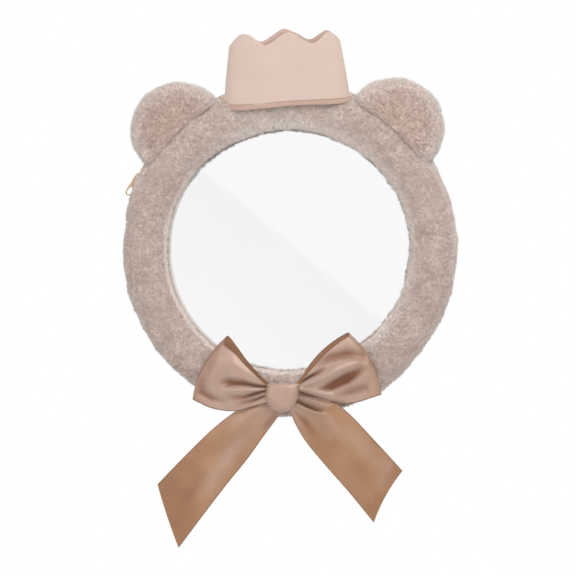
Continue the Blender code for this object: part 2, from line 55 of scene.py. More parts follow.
# ---- the ring, as in the frame ----
RING_OUTER_R = 168.0
RING_INNER_R = 121.0
RING_MIDDLE_R = (RING_OUTER_R + RING_INNER_R) / 2
RING_HALF_WIDTH = (RING_OUTER_R - RING_INNER_R) / 2
FRONT_POWER, BACK_POWER = 2.3, 5.0  # how square the ring's section is in front and behind
RING_FRONT_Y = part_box("front_cover")[0].y / MM
RING_BACK_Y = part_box("back_cover")[1].y / MM
SEAM_Y = -22.0
HOLE_EDGE_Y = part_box("mirror_bezel")[0].y / MM - CLEAR
ZIP_R = 165.6
ZIP_Y = -13.4
ZIP_BAND = 6.8  # half the width of the strip that holds the zip
ZIP_START, ZIP_STOP = 147.5, 286.0  # polar angles of the tapes' ends
TOOTH_PITCH = 1.55
SLIDER_POLAR = 151.8
PILE = 1.5  # height of the sherpa's curls
TRIM_POLAR = 205.0  # direction in which the cover's opening shows the mirror's trim
TRIM_LIP_R = 121.0
COVERED_R, BARED_R = 119.2, 123.4  # the opening's radius where it covers the trim and where it doesn't
OPENING_SHIFT = 1.8  # how much further out the opening's edge is on the right

EARS = {  # centre x and z, radius
    "left": (-111.0, 119.5, 48.0),
    "right": (106.0, 121.0, 49.0),
}
EARS_PUFF = {"left": 0.5, "right": 1.5}  # how far each ear's front swells where it meets the ring
EAR_Y = -23.0
EAR_HALF_THICK = 14.5


# ---- the camera's place ----
VIEW_CENTRE = Vector((-0.001, -0.024, -0.039))
CAMERA_AZIMUTH, CAMERA_ELEVATION = 6.0, 1.0
CAMERA_DISTANCE = 3.0
FRAME_WIDTH = 0.576  # width of the view at the camera's distance, in metres
RING_VIEW_Y = -25.0  # depth at which the bow's and crown's outlines are given, in millimetres


def view_direction():
    """From the object towards the camera."""
    a, e = radians(CAMERA_AZIMUTH), radians(CAMERA_ELEVATION)
    return Vector((sin(a) * cos(e), -cos(a) * cos(e), sin(e)))


# ---- repeatable noise ----
def cell_random(cells, salt):
    """Numbers from 0 to 1 for whole-number cells, the same on every run."""
    h = cells[..., 0] * 374761393 + cells[..., 1] * 668265263 + cells[..., 2] * 1442695041
    h = (h + salt * 1274126177) & 0xFFFFFFFF
    h = ((h ^ (h >> 13)) * 1103515245) & 0xFFFFFFFF
    h = ((h ^ (h >> 15)) * 668265263) & 0xFFFFFFFF
    return ((h ^ (h >> 16)) & 0xFFFFFF) / float(0xFFFFFF)


def soft_noise(points, size, salt=0):
    """Smooth noise from -1 to 1 with features of about this size."""
    p = points / size
    base = np.floor(p).astype(np.int64)
    f = p - base
    f = f * f * (3 - 2 * f)
    total = np.zeros(len(points))
    for corner in np.ndindex(2, 2, 2):
        weight = np.prod(np.where(corner, f, 1 - f), axis=1)
        total += weight * cell_random(base + np.array(corner), salt)
    return total * 2 - 1


def curls(points, size, salt=0):
    """Distance to the nearest curl's middle, in curl sizes, and that curl's random number."""
    p = points / size
    base = np.floor(p).astype(np.int64)
    nearest = np.full(len(points), 9.0)
    number = np.zeros(len(points))
    for offset in np.ndindex(3, 3, 3):
        cell = base + np.array(offset) - 1
        centre = cell + np.stack([cell_random(cell, salt + k) for k in range(3)], axis=1)
        distance = np.linalg.norm(p - centre, axis=1)
        closer = distance < nearest
        nearest = np.where(closer, distance, nearest)
        number = np.where(closer, cell_random(cell, salt + 7), number)
    return nearest, number


# ---- meshes ----
def mesh_piece(name, points, faces, materials, smooth=True):
    """An object in metres from points in millimetres."""
    mesh = bpy.data.meshes.new(name)
    mesh.from_pydata((np.asarray(points, float) * MM).tolist(), [], faces)
    if smooth:
        mesh.shade_smooth()
    for finish in materials if isinstance(materials, (list, tuple)) else [materials]:
        mesh.materials.append(finish)
    made = bpy.data.objects.new(name, mesh)
    bpy.context.scene.collection.objects.link(made)
    return made


def grid_faces(rows, columns, wrap_rows=False, wrap_columns=False, start=0):
    """Quads between the points of a grid that is stored row by row."""
    r = np.arange(rows if wrap_rows else rows - 1)
    c = np.arange(columns if wrap_columns else columns - 1)
    r, c = (a.ravel() for a in np.meshgrid(r, c, indexing="ij"))
    r2, c2 = (r + 1) % rows, (c + 1) % columns
    corners = [r * columns + c, r2 * columns + c, r2 * columns + c2, r * columns + c2]
    return (np.stack(corners, axis=1) + start).tolist()


def grid_normals(points, wrap_rows=False, wrap_columns=False):
    """Normals of a grid of points, an array of rows, columns and 3."""
    def slope(axis, wrap):
        if wrap:
            return np.roll(points, -1, axis) - np.roll(points, 1, axis)
        return np.gradient(points, axis=axis)
    n = np.cross(slope(0, wrap_rows), slope(1, wrap_columns))
    return n / np.maximum(np.linalg.norm(n, axis=2, keepdims=True), 1e-9)


def spread(profile, step):
    """Points about a step apart along a chain of profile points."""
    profile = np.asarray(profile, float)
    lengths = np.linalg.norm(np.diff(profile, axis=0), axis=1)
    along = np.concatenate([[0.0], np.cumsum(lengths)])
    count = max(2, int(round(along[-1] / step)) + 1)
    places = np.linspace(0.0, along[-1], count)
    return np.stack([np.interp(places, along, profile[:, k]) for k in range(profile.shape[1])], axis=1)


def turn(profile, angles):
    """A grid of points: a profile of (radius, y) turned to each polar angle in degrees."""
    a = np.radians(np.asarray(angles))[:, None]
    r, y = np.asarray(profile)[:, 0][None, :], np.asarray(profile)[:, 1][None, :]
    return np.stack([r * np.cos(a), np.broadcast_to(y, (len(a), y.shape[1])), r * np.sin(a)], axis=2)


def turned_piece(name, profile, finish, step=3.0, start=0.0, stop=360.0, sharp=35.0):
    """A closed profile of (radius, y) turned about the ring's axis, capped if it isn't a whole turn."""
    whole = stop - start >= 360.0
    count = int(round((stop - start) / step))
    angles = start + (stop - start) * np.arange(count + (not whole)) / count
    points = turn(profile, angles)
    faces = grid_faces(len(angles), len(profile), wrap_rows=whole, wrap_columns=True)
    if not whole:
        last = (len(angles) - 1) * len(profile)
        faces.append(list(range(len(profile)))[::-1])
        faces.append([last + k for k in range(len(profile))])
    made = mesh_piece(name, points.reshape(-1, 3), faces, finish)
    return outward(made, sharp)


def outward(made, sharp=35.0):
    """Turns the faces outward and makes creases over this angle sharp."""
    bm = bmesh.new()
    bm.from_mesh(made.data)
    bmesh.ops.remove_doubles(bm, verts=bm.verts, dist=1e-7)
    bmesh.ops.recalc_face_normals(bm, faces=bm.faces)
    bm.to_mesh(made.data)
    bm.free()
    made.data.set_sharp_from_angle(angle=radians(sharp))
    return made


def tint(made, name, values):
    """Stores one number per point for the material to read."""
    layer = made.data.attributes.new(name, "FLOAT", "POINT")
    layer.data.foreach_set("value", np.asarray(values, np.float32))


def join(name, pieces):
    """Joins meshes that share their materials into one piece."""
    bm = bmesh.new()
    for piece in pieces:
        bm.from_mesh(piece.data)
    mesh = bpy.data.meshes.new(name)
    bm.to_mesh(mesh)
    bm.free()
    for finish in pieces[0].data.materials:
        mesh.materials.append(finish)
    mesh.set_sharp_from_angle(angle=radians(35.0))
    for piece in pieces:
        bpy.data.objects.remove(piece)
    made = bpy.data.objects.new(name, mesh)
    bpy.context.scene.collection.objects.link(made)
    return made


# ---- materials ----
class Nodes:
    """A short way to write a material's node tree."""

    def __init__(self, name):
        self.material = bpy.data.materials.new(name)
        self.material.use_nodes = True
        self.tree = self.material.node_tree
        self.shader = self.tree.nodes["Principled BSDF"]

    def set(self, **values):
        for key, value in values.items():
            self.shader.inputs[key.replace("_", " ")].default_value = value
        return self

    def add(self, kind, inputs=None, **settings):
        node = self.tree.nodes.new(kind)
        for key, value in settings.items():
            setattr(node, key, value)
        for key, value in (inputs or {}).items():
            if isinstance(value, bpy.types.NodeSocket):
                self.tree.links.new(value, node.inputs[key])
            else:
                node.inputs[key].default_value = value
        return node

    def link(self, socket, name):
        self.tree.links.new(socket, self.shader.inputs[name])

    def place(self):
        return self.add("ShaderNodeTexCoord").outputs["Object"]

    def attribute(self, name):
        return self.add("ShaderNodeAttribute", attribute_name=name).outputs["Fac"]

    def noise(self, scale, detail=3.0, vector=None, roughness=0.5):
        inputs = {"Scale": scale, "Detail": detail, "Roughness": roughness, "Vector": vector or self.place()}
        return self.add("ShaderNodeTexNoise", inputs).outputs["Fac"]

    def ramp(self, value, *stops):
        node = self.add("ShaderNodeValToRGB", {"Fac": value})
        while len(node.color_ramp.elements) < len(stops):
            node.color_ramp.elements.new(0.5)
        for element, (position, colour) in zip(node.color_ramp.elements, stops):
            element.position = position
            element.color = (*colour, 1.0)
        return node.outputs["Color"]

    def mix(self, share, first, second, blend="MIX"):
        node = self.add("ShaderNodeMix", data_type="RGBA", blend_type=blend)
        for index, value in ((0, share), (6, first), (7, second)):
            if isinstance(value, bpy.types.NodeSocket):
                self.tree.links.new(value, node.inputs[index])
            elif index:
                node.inputs[index].default_value = (*value, 1.0)
            else:
                node.inputs[index].default_value = value
        return node.outputs[2]

    def math(self, operation, first, second=0.0):
        node = self.add("ShaderNodeMath", operation=operation)
        for index, value in enumerate((first, second)):
            if isinstance(value, bpy.types.NodeSocket):
                self.tree.links.new(value, node.inputs[index])
            else:
                node.inputs[index].default_value = value
        return node.outputs[0]

    def bump(self, height, distance, strength=1.0):
        made = self.add("ShaderNodeBump", {"Height": height, "Distance": distance, "Strength": strength})
        self.link(made.outputs["Normal"], "Normal")


def linear(red, green, blue):
    """Scene-linear colour of an 8-bit display colour."""
    return tuple(
        c / 12.92 if c <= 0.04045 else ((c + 0.055) / 1.055) ** 2.4
        for c in (red / 255, green / 255, blue / 255)
    )


def pile_material(name, roughness, dark, light, pink_tone, pale, extra, extra_tone):
    """Curly pile: lighter on the curls' crowns, a painted highlight, pinker in an ear's middle, and paler
    where rim light, light bounced from the mirror and light under the crown are painted.
    dark and light are colour stops, and extra names the attribute that brings in its own tone."""
    n = Nodes(name).set(Roughness=roughness, Specular_IOR_Level=0.2)
    n.set(Sheen_Weight=1.0, Sheen_Roughness=0.28, Sheen_Tint=(1.0, 0.98, 0.94, 1.0))
    # the curl value carries a painted highlight on each curl's crown as well as random tone
    curl = n.ramp(n.attribute("curl"), dark, light)
    patch = n.ramp(n.noise(55.0), (0.35, linear(244, 238, 235)), (0.65, (1.0, 1.0, 1.0)))
    pink = n.mix(n.attribute("pink"), (1.0, 1.0, 1.0), pink_tone)
    colour = n.mix(1.0, n.mix(1.0, curl, patch, "MULTIPLY"), pink, "MULTIPLY")
    # painted light: the rims, the opening's edge and the top under the crown mix towards the pale tone
    colour = n.mix(n.attribute("frost"), colour, pale)
    n.link(n.mix(n.attribute(extra), colour, extra_tone), "Base Color")
    return n


def sherpa_material():
    """The panels' pile, which is paler and flat where it is bare at the opening's edge."""
    n = pile_material(
        "sherpa_pile", 0.95, (0.1, linear(170, 153, 146)), (0.8, linear(212, 195, 187)),
        linear(255, 238, 231), linear(240, 231, 226), "bare", linear(200, 189, 182),
    )
    n.bump(n.noise(1900.0, 2.0), 0.00035, 0.7)
    return n.material


def fuzz_material():
    """The loose ends of yarn, greyed by painted shade where they stand at the opening's edge, for the shadow
    there and its reflection in the mirror.
    """
    return pile_material(
        "sherpa_fuzz", 0.9, (0.0, linear(176, 158, 150)), (1.0, linear(230, 215, 208)),
        linear(255, 237, 229), linear(246, 238, 232), "shade", linear(128, 124, 126),
    ).material


def felt_material(name, light, dark, grain=1400.0, sheen=0.4):
    """Brushed felt: short matted fibres that run between two close tones."""
    n = Nodes(name).set(Roughness=0.95, Specular_IOR_Level=0.2)
    n.set(Sheen_Weight=sheen, Sheen_Roughness=0.5, Sheen_Tint=(1.0, 0.94, 0.9, 1.0))
    stretched = n.add("ShaderNodeMapping", {"Vector": n.place(), "Scale": (1.0, 1.0, 0.3)}).outputs[0]
    fine = n.noise(grain, 3.0, stretched)
    broad = n.noise(60.0, 3.0)
    blend = n.math("ADD", n.math("MULTIPLY", fine, 0.6), n.math("MULTIPLY", broad, 0.4))
    n.link(n.ramp(blend, (0.3, dark), (0.7, light)), "Base Color")
    n.bump(fine, 0.0003, 0.6)
    return n.material


def satin_material():
    """Satin ribbon: lengthwise threads, a darker corded edge and faint slubs, with two painted hues, rosy for
    painted sheen and golden for painted shade, and painted shade in the creases.
    """
    n = Nodes("satin").set(Roughness=0.46, Specular_IOR_Level=0.6, IOR=1.55, Metallic=0.32)
    n.set(Sheen_Weight=0.1, Sheen_Roughness=0.35, Sheen_Tint=(1.0, 0.88, 0.82, 1.0))
    across = n.attribute("across")
    weave = n.add("ShaderNodeTexWave", {"Scale": 1.0, "Distortion": 0.6, "Detail": 2.0})
    uv = n.add("ShaderNodeCombineXYZ", {"X": n.attribute("thread")})
    n.tree.links.new(uv.outputs[0], weave.inputs["Vector"])
    rim = n.math("GREATER_THAN", n.math("ABSOLUTE", across), 0.965)
    slub = n.noise(30.0, 4.0)
    rosy_painted_sheen = n.ramp(slub, (0.35, linear(168, 140, 126)), (0.65, linear(178, 150, 136)))
    golden_painted_shade = n.ramp(slub, (0.35, linear(151, 110, 80)), (0.65, linear(166, 125, 93)))
    # painted light: the share picks the golden hue of painted shade over the rosy hue of painted sheen
    body = n.mix(n.attribute("painted_shade_hue"), rosy_painted_sheen, golden_painted_shade)
    # painted shade: the creases and the turned-back ribbon darken towards deep brown
    body = n.mix(n.attribute("fold"), body, linear(122, 74, 44))
    n.link(n.mix(rim, body, linear(128, 92, 70)), "Base Color")
    n.bump(n.math("ADD", weave.outputs["Fac"], n.math("MULTIPLY", rim, 4.0)), 0.00004, 0.5)
    return n.material


def plastic_material(name, colour, roughness):
    n = Nodes(name).set(Specular_IOR_Level=0.45)
    mottle = n.noise(90.0, 3.0)
    n.link(n.ramp(mottle, (0.3, tuple(0.94 * c for c in colour)), (0.7, colour)), "Base Color")
    n.link(n.math("ADD", n.math("MULTIPLY", mottle, 0.12), roughness), "Roughness")
    return n.material


def gold_material():
    n = Nodes("gold_plate").set(Metallic=1.0)
    wear = n.noise(700.0, 3.0)
    n.link(n.ramp(wear, (0.3, linear(206, 172, 136)), (0.7, linear(230, 199, 164))), "Base Color")
    n.link(n.math("ADD", n.math("MULTIPLY", wear, 0.15), 0.2), "Roughness")
    return n.material


def mirror_material():
    """Silvered glass with the faintest haze of dust."""
    n = Nodes("silvered_glass").set(Metallic=1.0)
    haze = n.noise(14.0, 4.0)
    n.link(n.ramp(haze, (0.3, (0.965, 0.968, 0.966)), (0.7, (0.975, 0.978, 0.976))), "Base Color")
    n.link(n.math("MULTIPLY", haze, 0.03), "Roughness")
    return n.material


def tape_material():
    n = Nodes("zip_tape_weave").set(Roughness=0.85, Specular_IOR_Level=0.25)
    weave = n.add("ShaderNodeTexWave", {"Vector": n.place(), "Scale": 900.0, "Distortion": 1.0})
    colour = n.ramp(weave.outputs["Fac"], (0.0, linear(168, 146, 134)), (1.0, linear(196, 174, 161)))
    n.link(colour, "Base Color")
    n.bump(weave.outputs["Fac"], 0.00012, 0.6)
    return n.material


def board_material():
    n = Nodes("fibreboard").set(Roughness=0.85)
    n.link(n.ramp(n.noise(420.0, 5.0), (0.3, linear(140, 104, 74)), (0.7, linear(172, 134, 100))), "Base Color")
    return n.material


def foam_material(name, light, dark):
    n = Nodes(name).set(Roughness=1.0)
    n.link(n.ramp(n.noise(350.0, 4.0), (0.3, dark), (0.7, light)), "Base Color")
    n.bump(n.noise(900.0, 3.0), 0.0004, 0.5)
    return n.material


SHERPA = sherpa_material()
FUZZ = fuzz_material()
CROWN_FELT = felt_material("crown_felt_brushed", linear(200, 179, 169), linear(192, 170, 160))
HEM_FELT = felt_material("crown_hem_felt", linear(184, 158, 145), linear(168, 141, 128))
LINING_FELT = felt_material("crown_lining_felt", linear(208, 182, 170), linear(198, 170, 157))
BACK_FELT = felt_material("back_felt_pressed", linear(206, 188, 177), linear(186, 166, 155), 900.0, 0.2)
SATIN = satin_material()
GOLD = gold_material()
MIRROR = mirror_material()
CREAM = plastic_material("cream_trim", linear(206, 199, 194), 0.6)
TAPE = tape_material()
TEETH = plastic_material("zip_teeth_resin", linear(206, 186, 172), 0.4)
THREAD = felt_material("sewing_thread", linear(206, 178, 163), linear(184, 153, 138), 2500.0, 0.2)
HEM_THREAD = felt_material("hem_thread", linear(170, 132, 110), linear(150, 112, 90), 2500.0, 0.2)
BOARD = board_material()
FOAM = foam_material("foam_tape", linear(240, 240, 236), linear(222, 222, 216))
FILLING = foam_material("polyester_fibre", linear(245, 243, 238), linear(228, 225, 218))


def keep(piece, slot, *nodes, body="body"):
    """Rides the piece on its body in place of these CAD nodes."""
    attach(piece, body)
    if nodes:
        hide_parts(*nodes)
    return piece


# ---- sherpa ----
def ring_half(t, back, inset=0.0):
    """Point (radius, y) of the ring's section. t turns from 0, outermost, to pi, innermost."""
    half_width = RING_HALF_WIDTH - inset
    half_depth = (RING_BACK_Y - SEAM_Y if back else SEAM_Y - RING_FRONT_Y) - inset
    power = BACK_POWER if back else FRONT_POWER
    c, s = cos(t), abs(sin(t))
    dr = half_width * abs(c) ** (2 / power) * (1 if c >= 0 else -1)
    dy = half_depth * s ** (2 / power) * (1 if back else -1)
    return RING_MIDDLE_R + dr, SEAM_Y + dy


def ring_reach(y, grow=0.0):
    """How far out the ring reaches at each depth y, or 0 in front of it or behind it."""
    y = np.asarray(y, float)
    half_width = RING_HALF_WIDTH + grow
    front = y < SEAM_Y
    half_depth = np.where(front, SEAM_Y - RING_FRONT_Y, RING_BACK_Y - SEAM_Y) + grow
    power = np.where(front, FRONT_POWER, BACK_POWER)
    share = np.clip(1 - np.abs((y - SEAM_Y) / half_depth) ** power, 0, 1)
    return np.where(share > 0, RING_MIDDLE_R + half_width * share ** (1 / power), 0.0)


def pile_height(points):
    """Height of the sherpa at each point, and how light each point is, from 0 to 1: random tone plus a painted
    highlight on each curl's crown.
    """
    warp = np.stack([soft_noise(points, 4.0, 30 + k) for k in range(3)], axis=1)
    large, number = curls(points + 1.0 * warp, 3.1, 3)
    clump = soft_noise(points, 8.5, 8)
    dome = np.clip(1 - (large / 0.85) ** 2, 0, 1)
    # dome paints each curl's crown lighter, a painted highlight; number and clump are random tone
    curl = np.clip(0.42 * dome + 0.33 * number + 0.25 * (0.5 + 0.5 * clump), 0, 1)
    height = PILE * (0.75 * dome + 0.35 * number - 0.6) + 0.75 * clump + 0.7 * soft_noise(points, 23.0, 5)
    height += 0.45 * soft_noise(points, 4.6, 6)
    return height, curl


def pile_piece(name, outer, inner, wrap_rows=True, **tints):
    """A sherpa panel: the outer grid grows curls, and the inner one closes it behind.
    Both are arrays of rows, columns and 3. Each tint is a number from 0 to 1 per outer point."""
    normals = grid_normals(outer, wrap_rows)
    flat = outer.reshape(-1, 3)
    height, curl = pile_height(flat)
    edge = np.ones(outer.shape[1])
    edge[0] = edge[-1] = 0.0
    edge[1] = edge[-2] = 0.6
    share = np.broadcast_to(edge, outer.shape[:2]).reshape(-1)
    raised = flat + normals.reshape(-1, 3) * (height * share)[:, None]
    rows, columns = outer.shape[:2]
    whole = np.concatenate([raised.reshape(rows, columns, 3), inner], axis=1)
    total = whole.shape[1]
    faces = grid_faces(rows, total, wrap_rows=wrap_rows, wrap_columns=True)
    if not wrap_rows:
        last = (rows - 1) * total
        faces.append(list(range(total)))
        faces.append([last + k for k in range(total)][::-1])
    made = mesh_piece(name, whole.reshape(-1, 3), faces, SHERPA)
    for word, values in {"curl": curl.reshape(rows, columns), **tints}.items():
        full = np.zeros((rows, total))
        full[:, :columns] = values
        tint(made, word, full.reshape(-1))
    return made, raised.reshape(rows, columns, 3), normals


def fuzz_piece(
    name, points, normals, count, seed, allowed=None,
    length=(0.9, 2.0), thick=(0.2, 0.33), lean=(0.5, 1.4), shade=0.0, **tints,
):
    """Ends of yarn that stand out of a pile: tapered spikes with three sides, seeded.
    allowed weighs where they grow, lean is how far they tip over in radians, and shade how far painted shade
    greys them."""
    rng = np.random.default_rng(seed)
    rows, columns = points.shape[:2]
    weight = np.linalg.norm(np.gradient(points, axis=0), axis=2)
    weight = weight * np.linalg.norm(np.gradient(points, axis=1), axis=2)
    if allowed is not None:
        weight = weight * allowed
    weight[:, 0] = weight[:, -1] = 0.0
    chosen = rng.choice(rows * columns, size=count, p=(weight / weight.sum()).reshape(-1))
    base = points.reshape(-1, 3)[chosen] + rng.normal(0, 0.35, (count, 3))
    normal = normals.reshape(-1, 3)[chosen]
    side = rng.normal(0, 1, (count, 3))
    side -= normal * (side * normal).sum(1)[:, None]
    side /= np.linalg.norm(side, axis=1)[:, None]
    tilt = rng.uniform(*lean, count)[:, None]
    ahead = normal * np.cos(tilt) + side * np.sin(tilt)
    across = np.cross(ahead, normal + 0.01 * side)
    across /= np.linalg.norm(across, axis=1)[:, None]
    third = np.cross(ahead, across)
    reach = rng.uniform(*length, count)[:, None]
    radius = rng.uniform(*thick, count)[:, None]
    base = base - normal * 0.35
    corners = [base + (across * cos(a) + third * sin(a)) * radius for a in (0.0, 2 * pi / 3, 4 * pi / 3)]
    everything = np.stack([*corners, base + ahead * (reach + 0.35)], axis=1).reshape(-1, 3)
    pattern = np.array([(1, 0, 3), (2, 1, 3), (0, 2, 3), (0, 1, 2)])
    faces = (pattern[None] + 4 * np.arange(count)[:, None, None]).reshape(-1, 3)
    made = mesh_piece(name, everything, faces.tolist(), FUZZ)
    for word, values in tints.items():
        tint(made, word, np.repeat(values.reshape(-1)[chosen], 4))
    tint(made, "curl", np.repeat(rng.uniform(0, 1, count), 4))
    tint(made, "shade", np.repeat(rng.uniform(0.4, 1.0, count) * shade, 4))
    return made


def open_share(angle):
    """1 where the cover's inner edge stands back and shows the trim, 0 where it covers the trim."""
    return np.clip(np.cos(angle - radians(TRIM_POLAR)), 0, 1) ** 0.7


def ring_wobble(points):
    """Gives the stuffed ring its slightly uneven outline, and its opening that sits off centre."""
    x, y, z = points[..., 0], points[..., 1], points[..., 2]
    angle = np.arctan2(z, x)
    r = np.hypot(x, z)
    swell = 0.5 * np.sin(3 * angle + 0.6) + 0.4 * np.sin(7 * angle + 2.1) + 0.35 * np.sin(12 * angle)
    outer_share = np.clip((r - RING_INNER_R) / (RING_OUTER_R - RING_INNER_R), 0, 1)
    inner_edge = COVERED_R + (BARED_R - COVERED_R) * open_share(angle)
    inner_edge = inner_edge + OPENING_SHIFT * np.clip(np.cos(angle), 0, 1) ** 3
    shift = (inner_edge - RING_INNER_R) * (1 - outer_share) ** 2 + swell * outer_share
    scale = (r + shift) / r
    return np.stack([x * scale, y, z * scale], axis=-1)


def ring_rim_frost(r):
    """How much painted rim light makes the pile's tips paler at the ring's outer rim."""
    return 0.45 * np.clip((r - RING_OUTER_R + 7.0) / 7.0, 0, 1) ** 1.5


def make_ring():
    """Front cover, back cover and gusset, each a shell with curls and loose fibres."""
    inset = PILE * 0.5
    angles = np.arange(0.0, 360.0, 0.36)
    turns = np.linspace(pi, 0.0, 60)
    front = [(RING_INNER_R + inset, HOLE_EDGE_Y)] + [ring_half(t, False, inset) for t in turns]
    front.append((RING_OUTER_R - inset, ZIP_Y - ZIP_BAND - CLEAR))
    inner = [ring_half(t, False, 3.2) for t in np.linspace(0.05, pi - 0.05, 9)]
    inner = [(RING_OUTER_R - 3.2, ZIP_Y - ZIP_BAND - CLEAR)] + inner + [(RING_INNER_R + 3.0, HOLE_EDGE_Y)]
    outer_grid = ring_wobble(turn(spread(front, 1.0), angles))
    r = np.hypot(outer_grid[..., 0], outer_grid[..., 2])
    angle = np.arctan2(outer_grid[..., 2], outer_grid[..., 0])
    width = 2.5 + 3.2 * open_share(angle)
    bared = np.clip(open_share(angle) * 1.6, 0, 1) * (r < RING_INNER_R + width)
    binding = np.clip((RING_INNER_R + width - r) / 2.0, 0, 1) * open_share(angle)
    # Painted light: paler near the opening for light bounced from the mirror, at the top where the crown shades
    # the ring, and at the outer rim for rim light.
    frost = 0.7 * np.clip((RING_INNER_R + 11.0 - r) / 11.0, 0, 1) * (1 - 0.95 * open_share(angle))
    frost += 0.2 * np.exp(-(((np.degrees(angle) - 92.0) / 24.0) ** 2)) + ring_rim_frost(r)
    frost = np.clip(frost, 0, 1)
    made, points, normals = pile_piece(
        "ring_front_pile", outer_grid, ring_wobble(turn(inner, angles)), bare=binding, frost=frost
    )
    keep(made, "sherpa", "front_cover")
    for k in range(4):
        fuzz = fuzz_piece(
            f"ring_front_fuzz_{k}", points, normals, 40000, 21 + k, allowed=1.0 - 0.97 * bared, frost=frost
        )
        keep(fuzz, "sherpa")
    # Longer fibres at the outer rim, painted pale for rim light.
    fringe = fuzz_piece(
        "ring_front_fringe", points, normals, 16000, 28, allowed=(r > RING_OUTER_R - 6.0) + 1e-9,
        length=(1.4, 2.6), thick=(0.18, 0.3), lean=(0.2, 1.0), frost=np.full(r.shape, 0.85),
    )
    keep(fringe, "sherpa")
    clumps = np.clip(0.5 + soft_noise(points.reshape(-1, 3), 5.0, 61).reshape(r.shape), 0.1, 1)
    edge = (r < RING_INNER_R + 3.0) * (points[..., 1] > HOLE_EDGE_Y - 5.0) * clumps
    rim = edge * (0.2 + (1 - open_share(angle)) ** 2) + 1e-9
    inward = np.stack([-np.cos(angle), 0 * angle - 0.1, -np.sin(angle)], axis=-1)
    # Painted shade: the fibres at the opening's edge are greyed for the shadow at the edge and its reflection
    # in the mirror.
    ragged = fuzz_piece(
        "ring_rim_fuzz", points, inward, 5200, 27, length=(1.6, 3.4), allowed=rim, thick=(0.2, 0.4),
        lean=(0.0, 0.8), shade=0.5,
    )
    keep(ragged, "sherpa")

    angles = np.arange(0.0, 360.0, 0.5)
    back_turns = [t for t in np.linspace(0.0, pi, 90) if ring_half(t, True)[1] > ZIP_Y + ZIP_BAND + CLEAR]
    bezel_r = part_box("mirror_bezel")[1].x / MM + 0.2
    rim_r = ZIP_R + 0.4 - inset
    back = [(rim_r, ZIP_Y + ZIP_BAND + CLEAR)]
    back += [(min(max(r, bezel_r), rim_r), y) for r, y in (ring_half(t, True, inset) for t in back_turns)]
    back = [p for p in back if p[1] >= ZIP_Y + ZIP_BAND + CLEAR] + [(bezel_r, HOLE_EDGE_Y + 2 * CLEAR)]
    inner = [(bezel_r + 2.2, HOLE_EDGE_Y + 2 * CLEAR), (bezel_r + 2.2, RING_BACK_Y - 2.6)]
    inner += [(rim_r - 5.0, RING_BACK_Y - 2.6), (rim_r - 2.2, ZIP_Y + ZIP_BAND + CLEAR)]
    outer_grid = turn(spread(back, 1.3), angles)
    frost = ring_rim_frost(np.hypot(outer_grid[..., 0], outer_grid[..., 2]))
    made, points, normals = pile_piece("ring_back_pile", outer_grid, turn(inner, angles), frost=frost)
    keep(made, "sherpa", "back_cover")
    keep(fuzz_piece("ring_back_fuzz", points, normals, 40000, 32, frost=frost), "sherpa")

    angles = np.arange(ZIP_STOP + 0.5, 360.0 + ZIP_START - 0.5, 0.4)
    gusset_r = ZIP_R + 0.4 - inset
    outer = spread([(gusset_r, ZIP_Y - ZIP_BAND), (gusset_r, ZIP_Y + ZIP_BAND)], 1.1)
    inner = [(gusset_r - 2.0, ZIP_Y + ZIP_BAND), (gusset_r - 2.0, ZIP_Y - ZIP_BAND)]
    outer_grid = turn(outer, angles)
    frost = ring_rim_frost(np.hypot(outer_grid[..., 0], outer_grid[..., 2]))
    made, points, normals = pile_piece(
        "gusset_pile", outer_grid, turn(inner, angles), wrap_rows=False, frost=frost
    )
    keep(outward(made, 60.0), "sherpa", "gusset")
    keep(fuzz_piece("gusset_fuzz", points, normals, 9000, 33, frost=frost), "sherpa")


def make_filling():
    """The ring's stuffing, which keeps to the same uneven outline inside the covers."""
    inset = 4.2
    slider_room = ZIP_R - 3.4
    bezel_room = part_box("mirror_bezel")[1].x / MM + 3.0
    profile = [ring_half(t, False, inset) for t in np.linspace(pi, 0.0, 24)]
    profile += [ring_half(t, True, inset) for t in np.linspace(0.0, pi, 24)]
    profile = [(max(min(r, slider_room), bezel_room if y > SEAM_Y else 0.0), y) for r, y in profile]
    points = ring_wobble(turn(profile, np.arange(0.0, 360.0, 2.0)))
    faces = grid_faces(*points.shape[:2], wrap_rows=True, wrap_columns=True)
    made = outward(mesh_piece("ring_filling", points.reshape(-1, 3), faces, FILLING), 60.0)
    keep(made, "filling", "stuffing_ring")


